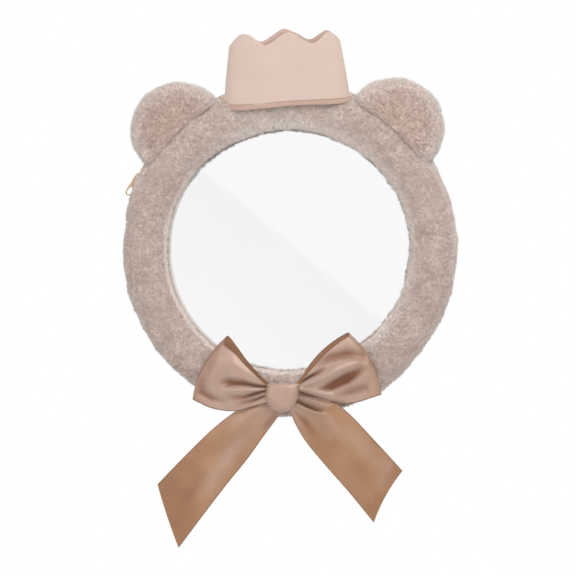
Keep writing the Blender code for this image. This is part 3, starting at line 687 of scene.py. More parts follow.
def make_ear(word, seed):
    """A stuffed round ear, pressed against the outside of the ring."""
    cx, cz, radius = EARS[word]
    radius -= PILE * 0.5
    angles = np.radians(np.arange(0.0, 360.0, 1.2))
    slices = np.linspace(0.0, pi, 104)
    reach = radius * np.sin(slices) ** 0.8
    front = slices < pi / 2
    a = angles[:, None]
    ripple = 1 + 0.008 * np.sin(5 * a + seed) + 0.006 * np.sin(9 * a + 2 * seed)
    x = cx + reach[None, :] * np.cos(a) * ripple
    z = cz + reach[None, :] * np.sin(a) * ripple
    share = np.broadcast_to((reach / radius)[None, :], x.shape)
    near = np.exp(-(((np.hypot(x, z) - 160.0) / 16.0) ** 2)) * front
    power = 2.6 + 4.5 * near
    thick = (EAR_HALF_THICK + EARS_PUFF[word] * near) * (1 - share ** power) ** (1 / power)
    y = EAR_Y + np.where(front, -thick, thick)
    r = np.hypot(x, z)
    limit = ring_reach(y, 0.3)
    free = np.clip((r - limit) / 1.5, 0, 1)
    pushed = np.maximum(r, limit)
    x, z = x * pushed / r, z * pushed / r
    points = np.stack([x, y, z], axis=2)
    from_middle = np.hypot(x - cx, z - cz) / radius
    pink = 0.8 * np.clip(1.25 - from_middle * 1.05, 0, 1) ** 0.8 * (y < EAR_Y)
    points[:, 0], points[:, -1] = points[:, 0].mean(0), points[:, -1].mean(0)
    normals = grid_normals(points, wrap_rows=True)
    normals[:, 0], normals[:, -1] = (0.0, -1.0, 0.0), (0.0, 1.0, 0.0)
    if (normals[:, 20, 1] > 0).mean() > 0.5:
        normals[:, 1:-1] *= -1
    height, curl = pile_height(points.reshape(-1, 3))
    raised = points + normals * (height.reshape(x.shape) * free)[..., None]
    raised[:, 0], raised[:, -1] = raised[:, 0].mean(0), raised[:, -1].mean(0)
    faces = grid_faces(*x.shape, wrap_rows=True)
    made = mesh_piece(f"{word}_ear_pile", raised.reshape(-1, 3), faces, SHERPA)
    tint(made, "curl", curl)
    tint(made, "pink", pink.reshape(-1))
    # Painted rim light: the ear is paler towards its rim.
    frost = 0.1 + 0.5 * np.clip((from_middle - 0.7) / 0.3, 0, 1) ** 1.3
    tint(made, "frost", frost.reshape(-1))
    keep(outward(made, 80.0), "sherpa", *(f"{word}_ear_{part}" for part in ("front", "back", "stuffing")))
    visible = (free > 0.05) * 1.0
    fuzz = fuzz_piece(f"{word}_ear_fuzz", raised, normals, 36000, seed, visible, pink=pink, frost=frost)
    keep(fuzz, "sherpa")
    at_rim = (from_middle > 0.93) * visible
    at_crease = (r < limit + 4.0) * (y < EAR_Y) * visible
    # The rim and crease fibres are painted pale: rim light at the rim, and light that lifts the crease's shade.
    fringe = fuzz_piece(
        f"{word}_ear_fringe", raised, normals, 9000, seed + 9, at_rim + at_crease + 1e-9,
        length=(1.4, 2.6), thick=(0.18, 0.3), lean=(0.2, 1.0),
        pink=pink, frost=np.where(at_crease > 0, 0.6, 0.9),
    )
    keep(fringe, "sherpa")


# ---- mirror ----
def make_mirror():
    """The silvered disc, its cream trim, and the felt panel behind with its seam."""
    low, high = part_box("mirror_glass")
    front, back, radius = low.y / MM, high.y / MM, high.x / MM
    glass = [(0.0, front), (radius - 1.2, front), (radius, front + 0.5), (radius, back), (0.0, back)]
    keep(turned_piece("mirror_disc", glass, MIRROR, step=2.0, sharp=5.0), "mirror", "mirror_glass")
    low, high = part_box("mirror_bezel")
    outer, front = high.x / MM, low.y / MM
    lip, skirt = TRIM_LIP_R, radius + CLEAR
    corner = [radians(a) for a in range(90, 181, 15)]
    lip_round = [(lip + 1.0 + 1.0 * cos(a), front + 1.0 - 1.0 * sin(a)) for a in corner]
    profile = lip_round + [(lip, front + 2.0), (skirt, front + 2.0), (skirt, high.y / MM)]
    profile += [(outer, high.y / MM), (outer, front + 0.8), (outer - 0.8, front)]
    keep(turned_piece("mirror_trim", profile, CREAM, step=1.5, sharp=40.0), "bezel_plastic", "mirror_bezel")
    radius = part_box("back_panel")[1].x / MM
    thick = -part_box("back_panel")[0].y / MM
    panel = [(0.0, -0.05), (radius - 6.0, -0.05), (radius - 4.5, -0.45), (radius - 3.0, -0.1)]
    panel += [(radius - 0.4, -0.3), (radius, -0.8), (radius - 0.4, -thick), (0.0, -thick)]
    keep(turned_piece("back_panel_felt", panel, BACK_FELT, step=2.0, sharp=50.0), "back_felt", "back_panel")
    seam = [(radius - 4.5) * np.array([cos(a), 0, sin(a)]) for a in np.linspace(0, 2 * pi, 361)[:-1]]
    seam = [point + np.array([0, -0.35, 0]) for point in seam]
    keep(stitches("back_panel_stitches", seam, (0, 1, 0), 3.4, 0.28, closed=True), "back_felt")


def stitches(name, path, out, pitch, radius, closed=False, finish=None):
    """Short rounded stitches along a path; out is the direction that they stand up in."""
    path = np.asarray(path, float)
    if closed:
        path = np.concatenate([path, path[:1]])
    lengths = np.linalg.norm(np.diff(path, axis=0), axis=1)
    along = np.concatenate([[0.0], np.cumsum(lengths)])
    count = int(along[-1] / pitch)
    out = np.asarray(out, float)
    points, faces = [], []
    for i in range(count):
        marks = (i + np.array([0.12, 0.3, 0.5, 0.7, 0.88])) * pitch
        centres = np.stack([np.interp(marks, along, path[:, k]) for k in range(3)], axis=1)
        ahead = centres[-1] - centres[0]
        ahead /= np.linalg.norm(ahead)
        across = np.cross(ahead, out)
        for centre, size, lift in zip(centres, (0.35, 0.85, 1.0, 0.85, 0.35), (-0.5, 0.3, 0.6, 0.3, -0.5)):
            for k in range(6):
                a = 2 * pi * k / 6
                points.append(centre + (across * cos(a) + out * (sin(a) + lift)) * radius * size)
        start = 30 * i
        faces += grid_faces(5, 6, wrap_columns=True, start=start)
        faces.append([start + k for k in range(6)][::-1])
        faces.append([start + 24 + k for k in range(6)])
    return outward(mesh_piece(name, points, faces, finish or THREAD), 60.0)


# ---- zip ----
def zip_point(along, out, across, polar=SLIDER_POLAR):
    """A point by its distance along the zip, out of its tapes and across it, at a polar angle."""
    a = radians(polar)
    return Vector((
        ZIP_R * cos(a) - along * sin(a) + out * cos(a),
        ZIP_Y + across,
        ZIP_R * sin(a) + along * cos(a) + out * sin(a),
    ))


def zip_matrix(polar=SLIDER_POLAR):
    """Axes of the zip: x along it, y out of the tapes, z across it, in millimetres."""
    origin = zip_point(0, 0, 0, polar)
    axes = [zip_point(*step, polar) - origin for step in ((1, 0, 0), (0, 1, 0), (0, 0, 1))]
    return Matrix.Translation(origin) @ Matrix(axes).transposed().to_4x4()


def rounded_plate(name, outline, holes, thick, edge, finish, matrix):
    """A flat plate with smooth outlines and rounded edges, from closed curves in its own x and y."""
    curve = bpy.data.curves.new(name, "CURVE")
    curve.dimensions = "2D"
    curve.fill_mode = "BOTH"
    curve.extrude = thick / 2 - edge
    curve.bevel_depth = edge
    curve.bevel_resolution = 2
    curve.offset = -edge
    for points in [outline, *holes]:
        spline = curve.splines.new("BEZIER")
        spline.bezier_points.add(len(points) - 1)
        for place, (x, y) in zip(spline.bezier_points, points):
            place.co = (x, y, 0.0)
            place.handle_left_type = place.handle_right_type = "AUTO"
        spline.use_cyclic_u = True
        spline.resolution_u = 6
    flat = bpy.data.objects.new(name, curve)
    bpy.context.scene.collection.objects.link(flat)
    mesh = bpy.data.meshes.new_from_object(flat.evaluated_get(bpy.context.evaluated_depsgraph_get()))
    bpy.data.objects.remove(flat)
    mesh.transform(Matrix.Scale(MM, 4) @ matrix)
    mesh.materials.clear()
    mesh.materials.append(finish)
    mesh.shade_smooth()
    made = bpy.data.objects.new(name, mesh)
    bpy.context.scene.collection.objects.link(made)
    return outward(made, 50.0)


def tube_piece(name, path, radius, finish, sides=12, closed=True):
    """A round wire along a path of points."""
    path = np.asarray(path, float)
    count = len(path)
    centre = path.mean(0)
    normal = np.cross(path[0] - centre, path[count // 4] - centre)
    normal /= np.linalg.norm(normal)
    ahead = np.roll(path, -1, 0) - np.roll(path, 1, 0)
    if not closed:
        ahead = np.gradient(path, axis=0)
    ahead /= np.linalg.norm(ahead, axis=1)[:, None]
    outward_dir = np.cross(ahead, normal)
    a = 2 * pi * np.arange(sides) / sides
    ring = outward_dir[:, None, :] * np.cos(a)[None, :, None] + normal * np.sin(a)[None, :, None]
    points = path[:, None, :] + radius * ring
    faces = grid_faces(count, sides, wrap_rows=closed, wrap_columns=True)
    if not closed:
        faces.append(list(range(sides)))
        faces.append([(count - 1) * sides + k for k in range(sides)][::-1])
    return outward(mesh_piece(name, points.reshape(-1, 3), faces, finish), 60.0)


def rounded_loop(corners, radius, steps=6):
    """A closed path through 2-D corners given in order, each rounded by its radius."""
    path = []
    count = len(corners)
    for i, here in enumerate(corners):
        here = Vector(here)
        before = (Vector(corners[i - 1]) - here).normalized()
        after = (Vector(corners[(i + 1) % count]) - here).normalized()
        for k in range(steps + 1):
            t = k / steps
            start, end = here + before * radius, here + after * radius
            path.append((1 - t) ** 2 * start + 2 * t * (1 - t) * here + t * t * end)
    return path


def make_zip():
    """Tapes, separate teeth, stops, slider and pull."""
    for row, side in (("front", -1), ("back", 1)):
        teeth = []
        first, last = SLIDER_POLAR - 0.5, ZIP_STOP - 3.0
        count = int((last - first) * pi / 180 * ZIP_R / TOOTH_PITCH)
        for i in range(count):
            polar = first + (i + 0.5) * (last - first) / count
            shift = 0.25 * TOOTH_PITCH * side
            shape = []
            for out in (-0.95, 0.95):
                for along, across in (
                    (-0.5, 2.75), (0.5, 2.75), (0.5, 1.6), (0.34, 0.85), (-0.34, 0.85), (-0.5, 1.6)
                ):
                    stand = out * (0.82 if across < 1 else 1.0)
                    shape.append(zip_point(along + shift, stand, side * across, polar))
            teeth.append(shape)
        points = [p for shape in teeth for p in shape]
        faces = []
        for i in range(count):
            s = 12 * i
            faces += grid_faces(2, 6, wrap_columns=True, start=s)
            faces += [[s + k for k in range(6)][::-1], [s + 6 + k for k in range(6)]]
        made = outward(mesh_piece(f"zip_{row}_teeth", points, faces, TEETH), 30.0)
        keep(made, "zip_tape", f"zip_teeth_{row}")
        low, high = sorted((ZIP_Y + side * 3.1, ZIP_Y + side * (ZIP_BAND - CLEAR)))
        cord = ZIP_Y + side * 3.6
        bead = sorted([(cord, ZIP_R + 0.75), (cord + 0.6 * side, ZIP_R + 0.4)])
        tape = [(ZIP_R - 0.4, low), (ZIP_R + 0.4, low), *((r, y) for y, r in bead)]
        tape += [(ZIP_R + 0.4, high), (ZIP_R - 0.4, high)]
        strip = turned_piece(f"zip_{row}_tape", tape, TAPE, step=1.0, start=ZIP_START, stop=ZIP_STOP)
        keep(strip, "zip_tape", f"zip_tape_{row}")
        seam = [zip_point(0, 0.42, side * 5.2, p) for p in np.arange(ZIP_START + 1, ZIP_STOP - 1, 1.0)]
        keep(running_stitches(f"zip_{row}_stitches", seam, 2.6, 0.2), "zip_tape")
    for name in ("zip_top_stop", "zip_bottom_stop", "zip_slider"):
        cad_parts[name].data.materials[0] = GOLD
    make_pull()


def running_stitches(name, path, pitch, radius):
    """Stitches round the ring, each standing out along the ring's own radius."""
    pieces = []
    path = [np.array(p) for p in path]
    chunk = 6
    for i in range(0, len(path) - chunk, chunk):
        middle = path[i + chunk // 2]
        out = np.array([middle[0], 0.0, middle[2]])
        out /= np.linalg.norm(out)
        pieces.append(stitches(f"{name}_{i}", path[i:i + chunk + 1], out, pitch, radius))
    return join(name, pieces)


def make_pull():
    """The wire link and the stamped tab with its teardrop hole."""
    lift = radians(15.0)
    link_along, link_out, link_length, half_width = 1.5, 3.85, 6.4, 2.6
    corners = [(0, -half_width), (link_length, -half_width), (link_length, half_width), (0, half_width)]
    path = [
        zip_point(link_along + u * cos(lift), link_out + u * sin(lift), s)
        for u, s in rounded_loop(corners, 1.4)
    ]
    link = tube_piece("pull_link_wire", path, 0.55, GOLD)
    keep(link, "gold_metal", "zip_pull_link", body="zip_pull")
    hang = Vector((link_along + link_length * cos(lift), link_out + link_length * sin(lift), 0.0))
    top, end, half = -2.15, 22.85, 3.4
    outline = [(top, 0.0), (top + 0.8, 1.7), (1.2, 2.35), (8.0, 2.75), (14.0, 3.1), (end - 4.2, half)]
    outline += [(end - 1.2, 2.2), (end, 0.0)]
    outline += [(x, -y) for x, y in outline[-2:0:-1]]
    eye = [(0.35 + 1.2 * cos(a), 1.2 * sin(a)) for a in np.linspace(0, 2 * pi, 9)[:-1]]
    drop = [(end - 1.3, 0.0), (end - 2.2, 1.5), (end - 4.6, 2.1), (end - 7.6, 1.5), (end - 9.6, 0.0)]
    drop += [(x, -y) for x, y in drop[-2:0:-1]]
    matrix = zip_matrix() @ Matrix.Translation(hang)
    tab = rounded_plate("pull_tab_plate", outline, [eye, drop], 1.1, 0.28, GOLD, matrix)
    keep(tab, "gold_metal", "zip_pull_tab", body="zip_pull")


# ---- crown ----
CROWN_X, CROWN_Y, CROWN_FOOT_Z = -1.5, -27.0, 145.5
CROWN_BASE, CROWN_TOP = (63.0, 20.5), (55.5, 18.5)
CROWN_FRONT_POWER, CROWN_BACK_POWER = 3.6, 2.6  # how square each half of the crown's section is
CROWN_LEAN, CROWN_TILT = 7.0, 3.0
# The rim's height across the crown, from the viewer's left (-1) to right (1), in front and behind.
RIM_FRONT = (
    (-1.0, 61.0), (-0.95, 64.8), (-0.87, 70.2), (-0.8, 73.0), (-0.7, 73.4), (-0.6, 71.2), (-0.48, 65.4),
    (-0.37, 61.7), (-0.27, 63.0), (-0.1, 68.5), (0.03, 72.4), (0.1, 72.8), (0.17, 71.8), (0.3, 67.0),
    (0.45, 62.3), (0.53, 61.3), (0.6, 62.6), (0.7, 66.8), (0.79, 70.2), (0.86, 70.4), (0.93, 67.0), (1.0, 61.0),
)
RIM_BACK = (
    (-1.0, 61.0), (-0.8, 66.5), (-0.66, 68.0), (-0.42, 61.5), (-0.2, 67.4), (0.0, 72.9), (0.2, 68.8),
    (0.5, 61.5), (0.66, 66.6), (0.8, 69.6), (0.9, 66.0), (1.0, 61.0),
)


def smooth_curve(keys, places):
    """Values of a smooth curve through sorted (place, value) keys."""
    xs, ys = (np.array(column) for column in zip(*keys))
    slopes = np.gradient(ys, xs)
    places = np.asarray(places)
    i = np.clip(np.searchsorted(xs, places) - 1, 0, len(xs) - 2)
    width = xs[i + 1] - xs[i]
    t = (places - xs[i]) / width
    return (
        ys[i] * (2 * t**3 - 3 * t**2 + 1) + slopes[i] * width * (t**3 - 2 * t**2 + t)
        + ys[i + 1] * (3 * t**2 - 2 * t**3) + slopes[i + 1] * width * (t**3 - t**2)
    )


def crown_matrix():
    foot = Vector((CROWN_X, CROWN_Y, CROWN_FOOT_Z))
    lean = Matrix.Rotation(radians(CROWN_LEAN), 4, "X")
    tilt = Matrix.Rotation(radians(-CROWN_TILT), 4, "Y")
    return np.array(Matrix.Translation(foot) @ tilt @ lean)


def crown_outline(count):
    """Evenly spaced points round the crown's section, as shares of its half width and half depth."""
    t = np.radians(np.arange(0.0, 360.0, 0.05))
    c, s = np.cos(t), np.sin(t)
    power = np.where(s < 0, CROWN_FRONT_POWER, CROWN_BACK_POWER)
    x, y = np.abs(c) ** (2 / power) * np.sign(c), np.abs(s) ** (2 / power) * np.sign(s)
    steps = np.hypot(np.diff(x, append=x[:1]) * CROWN_BASE[0], np.diff(y, append=y[:1]) * CROWN_BASE[1])
    along = np.concatenate([[0.0], np.cumsum(steps)])
    places = np.linspace(0.0, along[-1], count, endpoint=False)
    return tuple(np.interp(places, along, np.append(v, v[0])) for v in (x, y))


def crown_points(outline, shares, offset, extra=0.0):
    """Points of the crown's wall: the section's outline by shares of the height at each place."""
    unit_x, unit_y = outline
    front = smooth_curve(RIM_FRONT, unit_x)
    back = smooth_curve(RIM_BACK, unit_x)
    ease = np.clip(0.5 - unit_y * 2.0, 0, 1)
    height = (front * ease + back * (1 - ease) + extra)[:, None]
    share = np.asarray(shares)[None, :]
    bow = 1.2 * np.sin(np.clip(share, 0, 1) * pi)
    half_a = CROWN_BASE[0] + (CROWN_TOP[0] - CROWN_BASE[0]) * share + offset + bow
    half_b = CROWN_BASE[1] + (CROWN_TOP[1] - CROWN_BASE[1]) * share + offset + bow * 0.3
    x, y, z = unit_x[:, None] * half_a, unit_y[:, None] * half_b, height * share
    drape = 0.9 * np.sin(unit_x * 7.0 + 0.8)[:, None] * (0.3 + 0.7 * share)
    y = y + drape * (unit_y[:, None] < 0)
    points = np.stack([x, y, z, np.ones_like(z)], axis=2) @ crown_matrix().T
    return at_depth(points[..., :3])


def above_ring(points, clear):
    """Slides points that are in the ring along their column until they're out of it."""
    r = np.hypot(points[..., 0], points[..., 2])
    limit = ring_reach(points[..., 1], clear)
    scale = np.where((limit > r) & (limit > 0), limit / np.maximum(r, 1e-6), 1.0)
    moved = points.copy()
    moved[..., 0] *= scale
    moved[..., 2] *= scale
    return moved


def make_crown():
    outline = crown_outline(320)
    for name, inner, outer, finish, drop, node in (
        ("crown_outer", -1.8, 0.0, CROWN_FELT, 0.0, "crown_wall"),
        ("crown_inner", -3.2, -2.0, LINING_FELT, -1.6, "crown_lining"),
    ):
        shares = np.linspace(0.0, 1.0, 60)
        middle = (inner + outer) / 2
        outside = crown_points(outline, shares, outer, drop - 0.9)
        inside = crown_points(outline, shares[::-1][::3], inner, drop - 0.9)
        rim = [crown_points(outline, [1.0], middle + (outer - middle) * cos(a), drop - 0.9 + 0.9 * sin(a))
               for a in (0.4, 0.8, 1.2, 1.6, 2.0, 2.4, 2.8)]
        whole = np.concatenate([outside, *rim, inside], axis=1)
        flat = whole.reshape(-1, 3)
        creases = 0.8 * soft_noise(flat, 26.0, 41) + 0.2 * soft_noise(flat, 6.0, 42)
        flat = flat + grid_normals(whole, True, True).reshape(-1, 3) * creases[:, None] * 0.6
        whole = above_ring(flat.reshape(whole.shape), 0.2)
        faces = grid_faces(*whole.shape[:2], wrap_rows=True, wrap_columns=True)
        made = outward(mesh_piece(name, whole.reshape(-1, 3), faces, finish), 70.0)
        keep(made, "crown_felt", node)
    make_hem(outline)


def make_hem(outline):
    """The folded hem round the crown's foot, which dips where it hangs free, and its stitches."""
    unit_x = outline[0]
    dip = 1.8 * np.exp(-(((unit_x + 0.78) / 0.22) ** 2)) - 0.6 * np.sin(5 * unit_x + 0.6)
    profile = [(-0.2, 4.5), (0.4, 4.1), (0.6, 3.4), (0.6, 1.3), (0.5, 0.0), (0.1, -0.7), (-0.3, -0.3)]
    levels = []
    for offset, lift in profile:
        column = crown_points(outline, [0.0], offset)[:, 0, :]
        column[:, 2] += lift - dip * (0.5 if lift > 3 else 1.0)
        levels.append(column)
    whole = above_ring(np.stack(levels, axis=1), 0.2)
    faces = grid_faces(*whole.shape[:2], wrap_rows=True, wrap_columns=True)
    made = outward(mesh_piece("crown_hem_fold", whole.reshape(-1, 3), faces, HEM_FELT), 60.0)
    keep(made, "crown_felt", "crown_hem")
    front = [row[1] + np.array([0.0, -0.1, 0.15]) for row, y in zip(whole, outline[1]) if y < -0.3]
    keep(stitches("crown_hem_stitches", front, (0, -1, 0), 2.4, 0.3, finish=HEM_THREAD), "crown_felt")


# ---- bow ----
# The lengths the ribbon was cut to, in metres.
LOOP_LENGTH, LEFT_TAIL_LENGTH, RIGHT_TAIL_LENGTH = 0.160, 0.170, 0.150


def resample(points, count, axis):
    """A smooth (Catmull-Rom) curve through the control points along an axis of a grid."""
    points = np.moveaxis(points, axis, 0)
    padded = np.concatenate([2 * points[:1] - points[1:2], points, 2 * points[-1:] - points[-2:-1]])
    places = np.linspace(0, len(points) - 1, count)
    i = np.minimum(places.astype(int), len(points) - 2)
    t = (places - i).reshape(-1, *([1] * (points.ndim - 1)))
    p0, p1, p2, p3 = (padded[i + k] for k in range(4))
    made = 0.5 * (
        2 * p1 + (p2 - p0) * t + (2 * p0 - 5 * p1 + 4 * p2 - p3) * t**2 + (3 * p1 - p0 - 3 * p2 + p3) * t**3
    )
    return np.moveaxis(made, 0, axis)


def at_depth(points):
    """Moves points along the camera's rays: x and z are given at the ring's middle, and y is kept."""
    camera = VIEW_CENTRE + view_direction() * CAMERA_DISTANCE
    eye = np.array(camera) / MM
    t = (points[..., 1] - eye[1]) / (RING_VIEW_Y - eye[1])
    moved = points.copy()
    moved[..., 0] = eye[0] + t * (points[..., 0] - eye[0])
    moved[..., 2] = eye[2] + t * (points[..., 2] - eye[2])
    return moved


def ribbon_piece(name, middle, painted_shade_hue, fold, thick=0.4):
    """A thin closed sheet about a grid of middle points, rows along the ribbon, columns across.
    The first of the two shares is how golden each point is, golden being painted shade and rosy painted sheen,
    and the second how deep in a crease it is, which darkens it with painted shade; both run from 0 to 1."""
    middle = at_depth(middle)
    normals = grid_normals(middle)
    rows, columns = middle.shape[:2]
    count = rows * columns
    points = np.concatenate([
        (middle + normals * thick / 2).reshape(-1, 3), (middle - normals * thick / 2).reshape(-1, 3)
    ])
    faces = grid_faces(rows, columns)
    faces += [[count + k for k in face[::-1]] for face in grid_faces(rows, columns)]
    rim = list(range(columns)) + [r * columns + columns - 1 for r in range(1, rows)]
    rim += [(rows - 1) * columns + c for c in range(columns - 2, -1, -1)]
    rim += [r * columns for r in range(rows - 2, 0, -1)]
    faces += [[a, count + a, count + b, b] for a, b in zip(rim, rim[1:] + rim[:1])]
    made = outward(mesh_piece(name, points, faces, SATIN), 70.0)
    across = np.tile(np.tile(np.linspace(-1, 1, columns), rows), 2)
    along = np.tile(np.repeat(np.arange(rows), columns), 2)
    tint(made, "across", across)
    tint(made, "thread", along * 0.8)
    tint(made, "painted_shade_hue", np.tile(painted_shade_hue.reshape(-1), 2))
    tint(made, "fold", np.tile(fold.reshape(-1), 2))
    return made


def edge_grid(stations, columns):
    """Control points between pairs of edge points: (top x, z), (bottom x, z), y, and a middle shift."""
    rows = []
    for top, bottom, y_top, y_bottom, shift in stations:
        row = []
        for v in np.linspace(0, 1, columns):
            bulge = 4 * v * (1 - v)
            row.append((
                top[0] + (bottom[0] - top[0]) * v + shift[0] * bulge,
                y_top + (y_bottom - y_top) * v + shift[1] * bulge,
                top[1] + (bottom[1] - top[1]) * v + shift[2] * bulge,
            ))
        rows.append(row)
    return np.array(rows)


def folds(x, z, lines):
    """How far soft folds push the cloth back at (x, z). Each line is a list of (x, z, depth, width):
    a valley where the depth is positive and a ridge where it's negative."""
    total = np.zeros_like(x)
    for line in lines:
        best, push = np.full_like(x, 1e9), np.zeros_like(x)
        for (x0, z0, d0, w0), (x1, z1, d1, w1) in zip(line, line[1:]):
            t = ((x - x0) * (x1 - x0) + (z - z0) * (z1 - z0)) / ((x1 - x0) ** 2 + (z1 - z0) ** 2)
            t = np.clip(t, 0, 1)
            away = np.hypot(x - x0 - t * (x1 - x0), z - z0 - t * (z1 - z0)) / (w0 + t * (w1 - w0))
            here = (d0 + t * (d1 - d0)) * np.exp(-(away ** 2))
            closer = away < best
            best, push = np.where(closer, away, best), np.where(closer, here, push)
        total += push
    return total


def make_loop(name, stations, lines, node):
    """A bow loop: the ribbon goes out in front, folds round its end and comes back behind."""
    control = edge_grid(stations, 7)
    middle = resample(resample(control, 170, 0), 110, 1)
    rows, columns = middle.shape[:2]
    reach = [abs(bottom[0]) for _, bottom, *_ in stations]
    fold = reach.index(max(reach)) / (len(stations) - 1)
    u = np.linspace(0, 1, rows)[:, None] / fold
    front = np.clip((1.0 - u) * 12.0, 0, 1)
    push = 1.5 * folds(middle[..., 0], middle[..., 2], lines) * front
    middle[..., 1] += push
    middle[..., 1] += 0.45 * soft_noise(middle.reshape(-1, 3), 16.0, 61).reshape(rows, columns) * front
    # Painted shade: golden at the ribbon's turn and on the layer behind, rosy painted sheen in front.
    painted_shade_hue = np.interp(u, (0.0, 0.7, 0.98, 1.2), (0.05, 0.0, 0.45, 1.0)) + np.zeros_like(push)
    # Painted shade: the turn, the layer behind and the creases are darkened.
    turned = np.interp(u, (0.86, 1.0, 1.08, 1.2), (0.0, 0.12, 0.26, 0.4))
    fold = np.clip(turned + np.clip(push, 0, None) / 6.0, 0, 1.0)
    made = ribbon_piece(name, middle, painted_shade_hue, fold)
    keep(made, "satin", node)
    return made


# Each station: the top and bottom edges' (x, z), their y, and the middle's shift (x, y, z).
LEFT_LOOP = (
    ((-14, -140), (-14, -150), -58.0, -58.0, (0, -2.0, 0)),
    ((-22.5, -136.2), (-24, -154.0), -58.0, -57.5, (0, -3.0, 0)),
    ((-32, -128.0), (-38, -158.0), -58.5, -56.0, (0, -4.5, 0)),
    ((-43.5, -116.5), (-56, -162.6), -59.0, -55.0, (0, -6.0, 0)),
    ((-55, -104.0), (-77, -160.0), -58.5, -54.0, (-2.0, -5.0, 0)),
    ((-64.5, -96.0), (-90, -154.6), -57.0, -53.0, (-4.0, -3.0, 1.5)),
    ((-64.2, -92.0), (-96.8, -151.0), -53.5, -50.5, (-5.5, 0, 3.0)),
    ((-61.0, -87.2), (-94, -150.0), -49.0, -48.5, (-5.0, 0.6, 3.0)),
    ((-51, -99.5), (-78, -155.0), -48.0, -47.5, (-1.0, 0.6, 0)),
    ((-43, -110.5), (-58, -158.0), -48.0, -48.0, (0, 0.4, 0)),
    ((-34, -120.8), (-40, -155.0), -49.0, -48.5, (0, 0.4, 0)),
    ((-24, -131.0), (-26, -152.0), -51.0, -50.5, (0, 0, 0)),
    ((-12, -139), (-13, -151), -53.0, -53.0, (0, 0, 0)),
)
RIGHT_LOOP = (
    ((4, -140), (4, -148), -58.0, -58.0, (0, -2.0, 0)),
    ((11.0, -134.6), (11.0, -145.5), -58.0, -58.0, (0, -3.0, 0)),
    ((23, -119.6), (27, -149.5), -58.5, -57.0, (0, -4.5, 0)),
    ((37, -103.8), (46, -154.0), -59.0, -56.0, (0, -6.0, 0)),
    ((50, -92.8), (66, -153.5), -59.0, -54.5, (2.0, -5.0, 0)),
    ((58.4, -87.2), (84, -148.0), -57.5, -53.0, (4.0, -3.0, 1.5)),
    ((60.5, -85.6), (92.2, -145.3), -53.5, -50.5, (5.5, 0, 3.0)),
    ((58.3, -83.6), (90, -145.0), -49.5, -48.5, (5.0, 0.6, 3.0)),
    ((45, -91.6), (74, -150.0), -47.5, -47.5, (1.0, 0.6, 0)),
    ((32, -102.4), (56, -152.0), -48.0, -47.5, (1.0, 0.6, 0)),
    ((20.5, -115.6), (38, -150.0), -48.5, -48.0, (0, 0.4, 0)),
    ((12, -129.0), (18, -147.0), -51.0, -50.5, (0, 0, 0)),
    ((4, -137), (4, -148), -53.0, -53.0, (0, 0, 0)),
)
LEFT_FOLDS = (
    ((-21, -138.8, 4.5, 1.5), (-34, -137.7, 5.5, 2.2), (-46, -135.4, 5.0, 3.4), (-60, -134.4, 4.0, 4.6),
     (-72, -137, 0, 6.0)),
    ((-22, -140.2, -1.0, 1.4), (-40, -141.0, -3.5, 2.8), (-56, -141.2, -2.5, 4.2), (-72, -142, 0, 5.0)),
    ((-21, -141.6, 4.5, 1.3), (-34, -144.6, 4.6, 2.0), (-46, -148.2, 3.0, 2.8), (-57, -148.6, 1.6, 4.2),
     (-70, -146, 0, 5.0)),
    ((-23, -146.5, 3.0, 1.3), (-33, -150.4, 3.4, 1.8), (-42, -153.2, 2.2, 2.4), (-54, -157, 0.6, 3.0)),
    ((-66, -153.0, 0.6, 3.0), (-78, -150.0, 2.6, 4.0), (-88, -144.0, 2.8, 4.0), (-90, -134.0, 1.0, 4.0)),
    ((-24, -134.0, -0.5, 2.0), (-40, -123.0, -1.8, 5.0), (-56, -114.0, -2.2, 8.0), (-70, -112, 0, 9.0)),
    ((-72, -104, 0.6, 3.0), (-80, -118, 1.2, 4.0), (-86, -132, 0.8, 4.0)),
)
RIGHT_FOLDS = (
    ((10, -135.6, 4.0, 1.4), (21, -128.4, 5.0, 2.0), (31, -124.0, 3.5, 3.2), (45, -117.5, 0, 5.0)),
    ((27, -116.0, 1.0, 3.0), (42, -108.5, 3.0, 4.2), (58, -105.0, 3.5, 5.0), (74, -108.0, 2.0, 5.0)),
    ((12, -137.6, -1.5, 1.8), (30, -130.0, -3.5, 4.0), (46, -121.5, -3.5, 5.0), (66, -114.5, -2.0, 6.0)),
    ((31, -141.0, 1.5, 2.4), (42, -137.0, 5.5, 4.2), (57, -129.5, 6.6, 5.4), (69, -122.5, 3.6, 4.6),
     (78, -117.0, 0, 4.0)),
    ((48, -147.0, 0.5, 4.0), (62, -143.0, 2.5, 5.0), (76, -139.0, 2.0, 5.0)),
    ((9, -142.6, 4.5, 1.3), (24, -147.4, 5.0, 1.7), (38, -151.4, 4.0, 2.0), (54, -154.4, 2.5, 2.0)),
    ((12, -140.0, -1.5, 1.4), (28, -142.8, -3.0, 2.2), (42, -146.5, -1.0, 3.0)),
)
LEFT_TAIL = (
    ((-17, -153), (-4, -158), -50.5, -50.5, (0, 0, 0)),
    ((-30, -156), (-7, -164.0), -50.0, -50.5, (0, -2.0, 0)),
    ((-46, -158.5), (-12, -169.5), -49.0, -50.0, (0, -3.0, 0)),
    ((-62, -168.5), (-25, -187.0), -48.0, -49.0, (0, -1.5, 0)),
    ((-79.3, -182.8), (-42.0, -210.6), -46.0, -46.5, (0, 1.5, 0)),
    ((-97, -199.8), (-63, -236.5), -43.0, -44.0, (0, 2.0, 0)),
    ((-115, -218.0), (-86, -266.5), -40.5, -42.0, (0, 0.5, 0)),
    ((-132.8, -236.6), (-111.4, -300.5), -38.0, -38.5, (-1.0, -1.5, 0)),
)
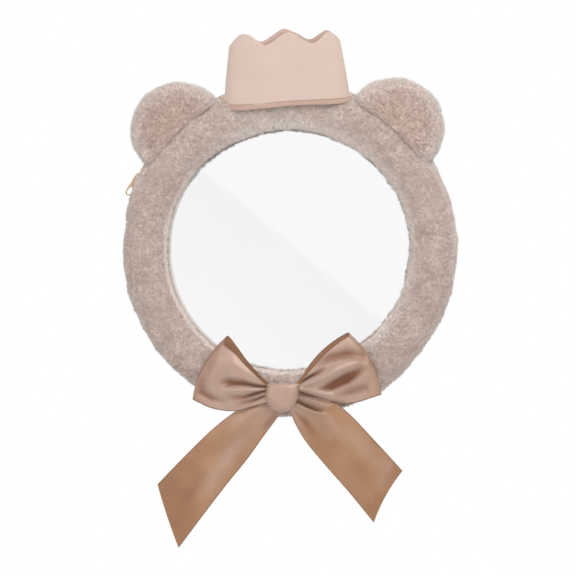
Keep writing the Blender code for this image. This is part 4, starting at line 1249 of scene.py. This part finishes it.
RIGHT_TAIL = (
    ((8, -146), (-4, -156), -52.5, -51.5, (0, 0, 0)),
    ((25, -148.0), (1.5, -163.5), -52.0, -51.0, (0, -1.0, 0)),
    ((45, -152.5), (6.5, -175.0), -50.5, -50.0, (0, -2.0, 0)),
    ((63.5, -167.2), (17.0, -192.5), -48.0, -49.0, (0, -1.0, 0)),
    ((83.5, -188.3), (36, -215.5), -45.5, -46.5, (0, 1.5, 0)),
    ((99.5, -205.4), (60, -242.5), -42.0, -43.0, (0, 1.0, 0)),
    ((113.8, -221.0), (85.2, -273.0), -38.0, -38.5, (-2.5, -1.0, 0.5)),
)
LEFT_TAIL_FOLDS = (
    ((-26, -152, -1.0, 4.0), (-42, -168, -2.5, 6.0), (-56, -188, -2.0, 7.0), (-70, -210, 0, 8.0)),
    ((-10, -162, 1.5, 2.0), (-20, -174, 2.0, 3.0), (-30, -188, 0, 4.0)),
    ((-40, -196, -1.0, 5.0), (-58, -206, -2.5, 7.0), (-74, -222, 0, 8.0)),
    ((-88, -228, 1.0, 7.0), (-101, -250, 2.0, 9.0), (-110, -272, 0, 9.0)),
)
# Painted sheen patches on the tails, as lines like the folds': a positive amount is rosy painted sheen, a
# negative one golden painted shade.
LEFT_TAIL_PAINTED_SHEENS = (
    ((-46, -190, 0.3, 6.0), (-60, -207, 0.7, 8.0), (-74, -226, 0.5, 8.0), (-84, -246, 0.3, 8.0)),
    ((-14, -176, -0.6, 4.0), (-34, -204, -0.6, 4.0)),
    ((-80, -256, -0.3, 6.0), (-96, -274, -0.3, 6.0)),
)
RIGHT_TAIL_PAINTED_SHEENS = (
    ((42, -172, 0.2, 7.0), (66, -190, 0.35, 8.0), (88, -210, 0.2, 8.0)),
    ((100, -214, 0.4, 5.0), (92, -232, 0.3, 6.0)),
    ((14, -170, -0.5, 5.0), (30, -196, -0.3, 6.0)),
    ((44, -160, -0.8, 5.0), (56, -172, -0.4, 6.0)),
)
RIGHT_TAIL_FOLDS = (
    ((7, -151.0, 4.0, 1.8), (21, -157.4, 5.0, 2.4), (31, -160.4, 3.5, 2.6), (40, -162.0, 0, 3.0)),
    ((7, -147.0, -1.5, 2.0), (25, -151.4, -3.0, 2.5), (42, -158.0, -2.0, 3.5)),
    ((8, -156.0, -1.0, 2.0), (26, -163.4, -3.0, 2.4), (40, -166.0, 0, 3.0)),
    ((6, -164.0, 1.0, 2.0), (16, -174.0, 2.0, 3.0), (28, -192.0, 0, 5.0)),
    ((40, -176, -1.0, 6.0), (58, -196, -2.0, 8.0), (80, -222, 0, 9.0)),
)


def make_tail(name, stations, seed, node, lines, painted_sheens):
    """A ribbon tail: gathered at the knot, then hanging in a slight twist. Its painted sheens are soft
    patches of the rosy hue of painted sheen, as lines like the folds'."""
    control = edge_grid(stations, 7)
    middle = resample(resample(control, 170, 0), 80, 1)
    rows, columns = middle.shape[:2]
    u = np.linspace(0, 1, rows)[:, None]
    v = np.linspace(0, 1, columns)[None, :]
    push = 1.2 * folds(middle[..., 0], middle[..., 2], lines)
    middle[..., 1] += push
    waves = 1.2 * np.sin(7.5 * u + 3.2 * v + seed) * np.clip(u * 3, 0, 1) * (0.35 + 0.65 * np.sin(pi * v))
    middle[..., 1] += waves
    # Painted light: rosy painted sheen near the knot, the golden hue of painted shade further down, lightened
    # by the painted sheens.
    painted_shade_hue = np.interp(u, (0.0, 0.15, 0.4, 0.6), (0.1, 0.2, 0.6, 1.0))
    painted_shade_hue = painted_shade_hue - folds(middle[..., 0], middle[..., 2], painted_sheens)
    # The creases get painted shade, and the ribbon darkens towards its tip.
    fold = np.clip(push, 0, None) / 7.0 + 0.3 * np.clip((u - 0.7) / 0.3, 0, 1) ** 1.5
    made = ribbon_piece(name, middle, np.clip(painted_shade_hue, 0, 1), np.clip(fold, 0, 0.8))
    keep(made, "satin", node)
    return made


KNOT_LEVELS = (  # height z, left x, right x, front y, half depth
    (-134.6, -19.0, 9.0, -60.5, 7.0), (-135.2, -22.0, 10.8, -64.0, 9.0),
    (-137.5, -22.4, 10.8, -66.0, 10.0), (-143.0, -23.6, 10.4, -67.2, 10.4),
    (-149.5, -24.2, 9.2, -67.6, 10.6), (-153.7, -22.0, 7.0, -67.2, 10.3),
    (-157.5, -18.8, 4.8, -66.2, 9.8), (-160.2, -15.5, 2.2, -64.6, 8.8),
    (-162.0, -12.0, -1.0, -62.6, 7.6), (-162.8, -9.5, -3.5, -60.0, 6.0),
)


def make_knot():
    """The short piece of ribbon that is wrapped round the middle of the bow."""
    levels = resample(np.array(KNOT_LEVELS), 44, 0)
    turns = np.radians(np.arange(0.0, 360.0, 4.0))
    rows = []
    for z, left, right, front, depth in levels:
        c, s = np.cos(turns), np.sin(turns)
        x = (left + right) / 2 + (right - left) / 2 * np.abs(c) ** 0.62 * np.sign(c)
        y = front + depth + depth * np.abs(s) ** 0.8 * np.sign(s)
        rows.append(np.stack([x, y, np.full_like(x, z)], axis=1))
    points = at_depth(np.array(rows))
    flat = points.reshape(-1, 3)
    fold = 0.9 * np.exp(-(((flat[:, 0] + 9.0 - 0.25 * (flat[:, 2] + 149)) / 3.5) ** 2))
    fold *= np.clip((-149 - flat[:, 2]) / 10, 0, 1)
    flat[:, 1] += np.where(flat[:, 1] < -58, fold - 0.5 * soft_noise(flat, 9.0, 71), 0.0)
    faces = grid_faces(*points.shape[:2], wrap_columns=True)
    last = (len(rows) - 1) * len(turns)
    faces.append(list(range(len(turns))))
    faces.append([last + k for k in range(len(turns))][::-1])
    made = outward(mesh_piece("bow_knot_wrap", flat, faces, SATIN), 80.0)
    count = len(made.data.vertices)
    tint(made, "across", np.zeros(count))
    tint(made, "painted_shade_hue", np.full(count, 0.15))
    tint(made, "fold", np.zeros(count))
    tint(made, "thread", np.array([v.co.x for v in made.data.vertices]) / MM * 0.8)
    keep(made, "satin", "bow_knot")
    return made


def make_bow():
    ribbons = []
    for word, stations, lines in (("left", LEFT_LOOP, LEFT_FOLDS), ("right", RIGHT_LOOP, RIGHT_FOLDS)):
        loop = make_loop(f"{word}_loop_ribbon", stations, lines, f"bow_loop_{word}")
        ribbons.append(loop)
    for word, stations, seed, lines, painted_sheens, length in (
        ("left", LEFT_TAIL, 0.6, LEFT_TAIL_FOLDS, LEFT_TAIL_PAINTED_SHEENS, LEFT_TAIL_LENGTH),
        ("right", RIGHT_TAIL, 2.0, RIGHT_TAIL_FOLDS, RIGHT_TAIL_PAINTED_SHEENS, RIGHT_TAIL_LENGTH),
    ):
        tail = make_tail(f"{word}_tail_ribbon", stations, seed, f"bow_tail_{word}", lines, painted_sheens)
        ribbons.append(tail)
    for piece in (*ribbons, make_knot()):
        piece.visible_glossy = False
    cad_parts["bow_pad"].data.materials[0] = BACK_FELT


# ---- hanger and hidden pieces ----
def make_hanger():
    low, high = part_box("hanger_ring")
    wire = (high.y - low.y) / MM / 2
    y = (low.y + high.y) / MM / 2
    half = (high.x - low.x) / MM / 2 - wire
    top, bottom = high.z / MM - wire, low.z / MM + wire
    path = [(-half, top), (half, top)]
    deep = (top - bottom) * 0.6
    path += [(half * cos(radians(a)), bottom + deep + deep * sin(radians(a))) for a in range(-10, -171, -10)]
    loop = [Vector((x, y, z)) for x, z in path]
    keep(tube_piece("hanger_wire", loop, wire, GOLD), "gold_metal", "hanger_ring", body="hanger_ring")
    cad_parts["hanger_tab"].data.materials[0] = TAPE
    low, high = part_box("hanger_tab")
    inset = 1.6
    x0, x1, z0 = low.x / MM + inset, high.x / MM - inset, low.z / MM + inset
    seam = [(x0, z0 + 6.0), (x0, z0), (x1, z0), (x1, z0 + 6.0)]
    path = spread([(x, low.y / MM + 0.75, z) for x, z in seam], 0.8)
    keep(stitches("hanger_stitches", path, (0, 1, 0), 2.2, 0.2), "zip_tape")


def finish_hidden():
    """Materials for the CAD pieces that are inside and keep their shapes."""
    for name, finish in (("adhesive_ring", FOAM), ("backing_board", BOARD)):
        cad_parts[name].data.materials[0] = finish


# ---- stage ----
def make_camera():
    data = bpy.data.cameras.new("camera")
    data.sensor_width = 36.0
    data.lens = data.sensor_width * CAMERA_DISTANCE / FRAME_WIDTH
    data.clip_end = 50.0
    camera = bpy.data.objects.new("camera", data)
    camera.location = VIEW_CENTRE + view_direction() * CAMERA_DISTANCE
    camera.rotation_euler = view_direction().to_track_quat("Z", "Y").to_euler()
    bpy.context.scene.collection.objects.link(camera)
    bpy.context.scene.camera = camera
    return camera


def area_light(name, place, size, power, colour=(1.0, 1.0, 1.0)):
    data = bpy.data.lights.new(name, "AREA")
    data.shape = "RECTANGLE"
    data.size, data.size_y = size
    data.energy = power
    data.color = colour
    light = bpy.data.objects.new(name, data)
    light.location = place
    light.rotation_euler = (Vector(place) - VIEW_CENTRE).to_track_quat("Z", "Y").to_euler()
    bpy.context.scene.collection.objects.link(light)
    return light


# Heights, from 0 below to 1 above, and the light that comes from there.
WORLD_STOPS = ((0.47, (0.2, 0.165, 0.135, 1)), (0.58, (0.8, 0.8, 0.8, 1)))


def fresh_nodes(tree, *kinds):
    """Empties a node tree and gives it new nodes of these kinds."""
    tree.nodes.clear()
    return [tree.nodes.new(f"ShaderNode{kind}") for kind in kinds]


def make_world():
    """White for the camera; for light, bright above and darker towards the floor."""
    world = bpy.data.worlds.new("studio")
    bpy.context.scene.world = world
    world.use_nodes = True
    tree = world.node_tree
    place, split, height, ramp, light, white, path, mix, out = fresh_nodes(
        tree, "TexCoord", "SeparateXYZ", "Math", "ValToRGB", "Background", "Background", "LightPath",
        "MixShader", "OutputWorld",
    )
    height.operation = "MULTIPLY_ADD"
    height.inputs[1].default_value = height.inputs[2].default_value = 0.5
    for element, (position, colour) in zip(ramp.color_ramp.elements, WORLD_STOPS):
        element.position, element.color = position, colour
    white.inputs["Color"].default_value = (1, 1, 1, 1)
    for a, b in (
        (place.outputs["Generated"], split.inputs[0]), (split.outputs["Z"], height.inputs[0]),
        (height.outputs[0], ramp.inputs[0]), (ramp.outputs[0], light.inputs["Color"]),
        (path.outputs["Is Camera Ray"], mix.inputs[0]), (light.outputs[0], mix.inputs[1]),
        (white.outputs[0], mix.inputs[2]), (mix.outputs[0], out.inputs["Surface"]),
    ):
        tree.links.new(a, b)


CARD_HALF = 0.42  # half of the card's side, in metres
CARD_STOPS = ((0.4985, 0.965), (0.5015, 0.915), (0.9, 0.965))  # places down the card, and their greys


def make_reflected_card(camera):
    """The white card that the mirror shows, with one straight edge between two nearly equal whites."""
    card_y = -3.6
    mirror_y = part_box("mirror_glass")[0].y
    def seen(x, z):
        point = Vector((x, mirror_y, z))
        ray = point - camera.location
        return point + Vector((ray.x, -ray.y, ray.z)) * (card_y - mirror_y) / -ray.y
    start, end = seen(-0.085, 0.076), seen(0.095, -0.0735)
    along = (end - start).normalized()
    down = Vector((along.z, 0.0, -along.x))
    if down.z > 0:
        down = -down
    middle = (start + end) / 2
    material = bpy.data.materials.new("card_white")
    material.use_nodes = True
    tree = material.node_tree
    place, split, shift, ramp, glow, out = fresh_nodes(
        tree, "TexCoord", "SeparateXYZ", "Math", "ValToRGB", "Emission", "OutputMaterial"
    )
    shift.operation = "MULTIPLY_ADD"
    shift.inputs[1].default_value, shift.inputs[2].default_value = 1.0, 0.5
    elements = ramp.color_ramp.elements
    elements.new(0.9)
    for element, (position, grey) in zip(elements, CARD_STOPS):
        element.position, element.color = position, (grey, grey, grey, 1)
    for a, b in (
        (place.outputs["Object"], split.inputs[0]), (split.outputs["Y"], shift.inputs[0]),
        (shift.outputs[0], ramp.inputs[0]), (ramp.outputs[0], glow.inputs["Color"]),
        (glow.outputs[0], out.inputs["Surface"]),
    ):
        tree.links.new(a, b)
    mesh = bpy.data.meshes.new("reflected_card")
    corners = [(x * CARD_HALF, z * CARD_HALF, 0) for x, z in ((-1, -1), (1, -1), (1, 1), (-1, 1))]
    mesh.from_pydata(corners, [], [(0, 1, 2, 3)])
    mesh.materials.append(material)
    card = bpy.data.objects.new("reflected_card", mesh)
    facing = along.cross(down)
    card.matrix_world = Matrix.Translation(middle) @ Matrix((along, down, facing)).transposed().to_4x4()
    card.visible_camera = card.visible_diffuse = card.visible_shadow = False
    bpy.context.scene.collection.objects.link(card)


FLOOR_Z = -0.65
FLOOR_EDGES = (-8.0, 8.0, -8.0, 2.0)  # left, right, near and far, in metres


def make_floor():
    n = Nodes("pale_floor").set(Roughness=0.9, Base_Color=(0.8, 0.79, 0.78, 1.0))
    mesh = bpy.data.meshes.new("floor")
    left, right, near, far = FLOOR_EDGES
    corners = [(x, y, FLOOR_Z) for x, y in ((left, near), (right, near), (right, far), (left, far))]
    mesh.from_pydata(corners, [], [(0, 1, 2, 3)])
    mesh.materials.append(n.material)
    floor = bpy.data.objects.new("floor", mesh)
    bpy.context.scene.collection.objects.link(floor)


def make_stage():
    bpy.context.scene.view_settings.view_transform = "Standard"
    camera = make_camera()
    make_world()
    area_light("key", (1.05, -1.5, 1.7), (2.2, 1.8), 37.6, (1.0, 0.985, 0.97))
    area_light("fill", (-1.7, -1.5, 0.7), (0.7, 1.4), 9.0)
    area_light("front", (0.1, -2.7, -0.2), (1.4, 1.4), 12.0).visible_glossy = False
    make_reflected_card(camera)
    make_floor()


make_stage()
make_ring()
make_filling()
make_ear("left", 3)
make_ear("right", 4)
make_mirror()
make_zip()
make_crown()
make_bow()
make_hanger()
finish_hidden()
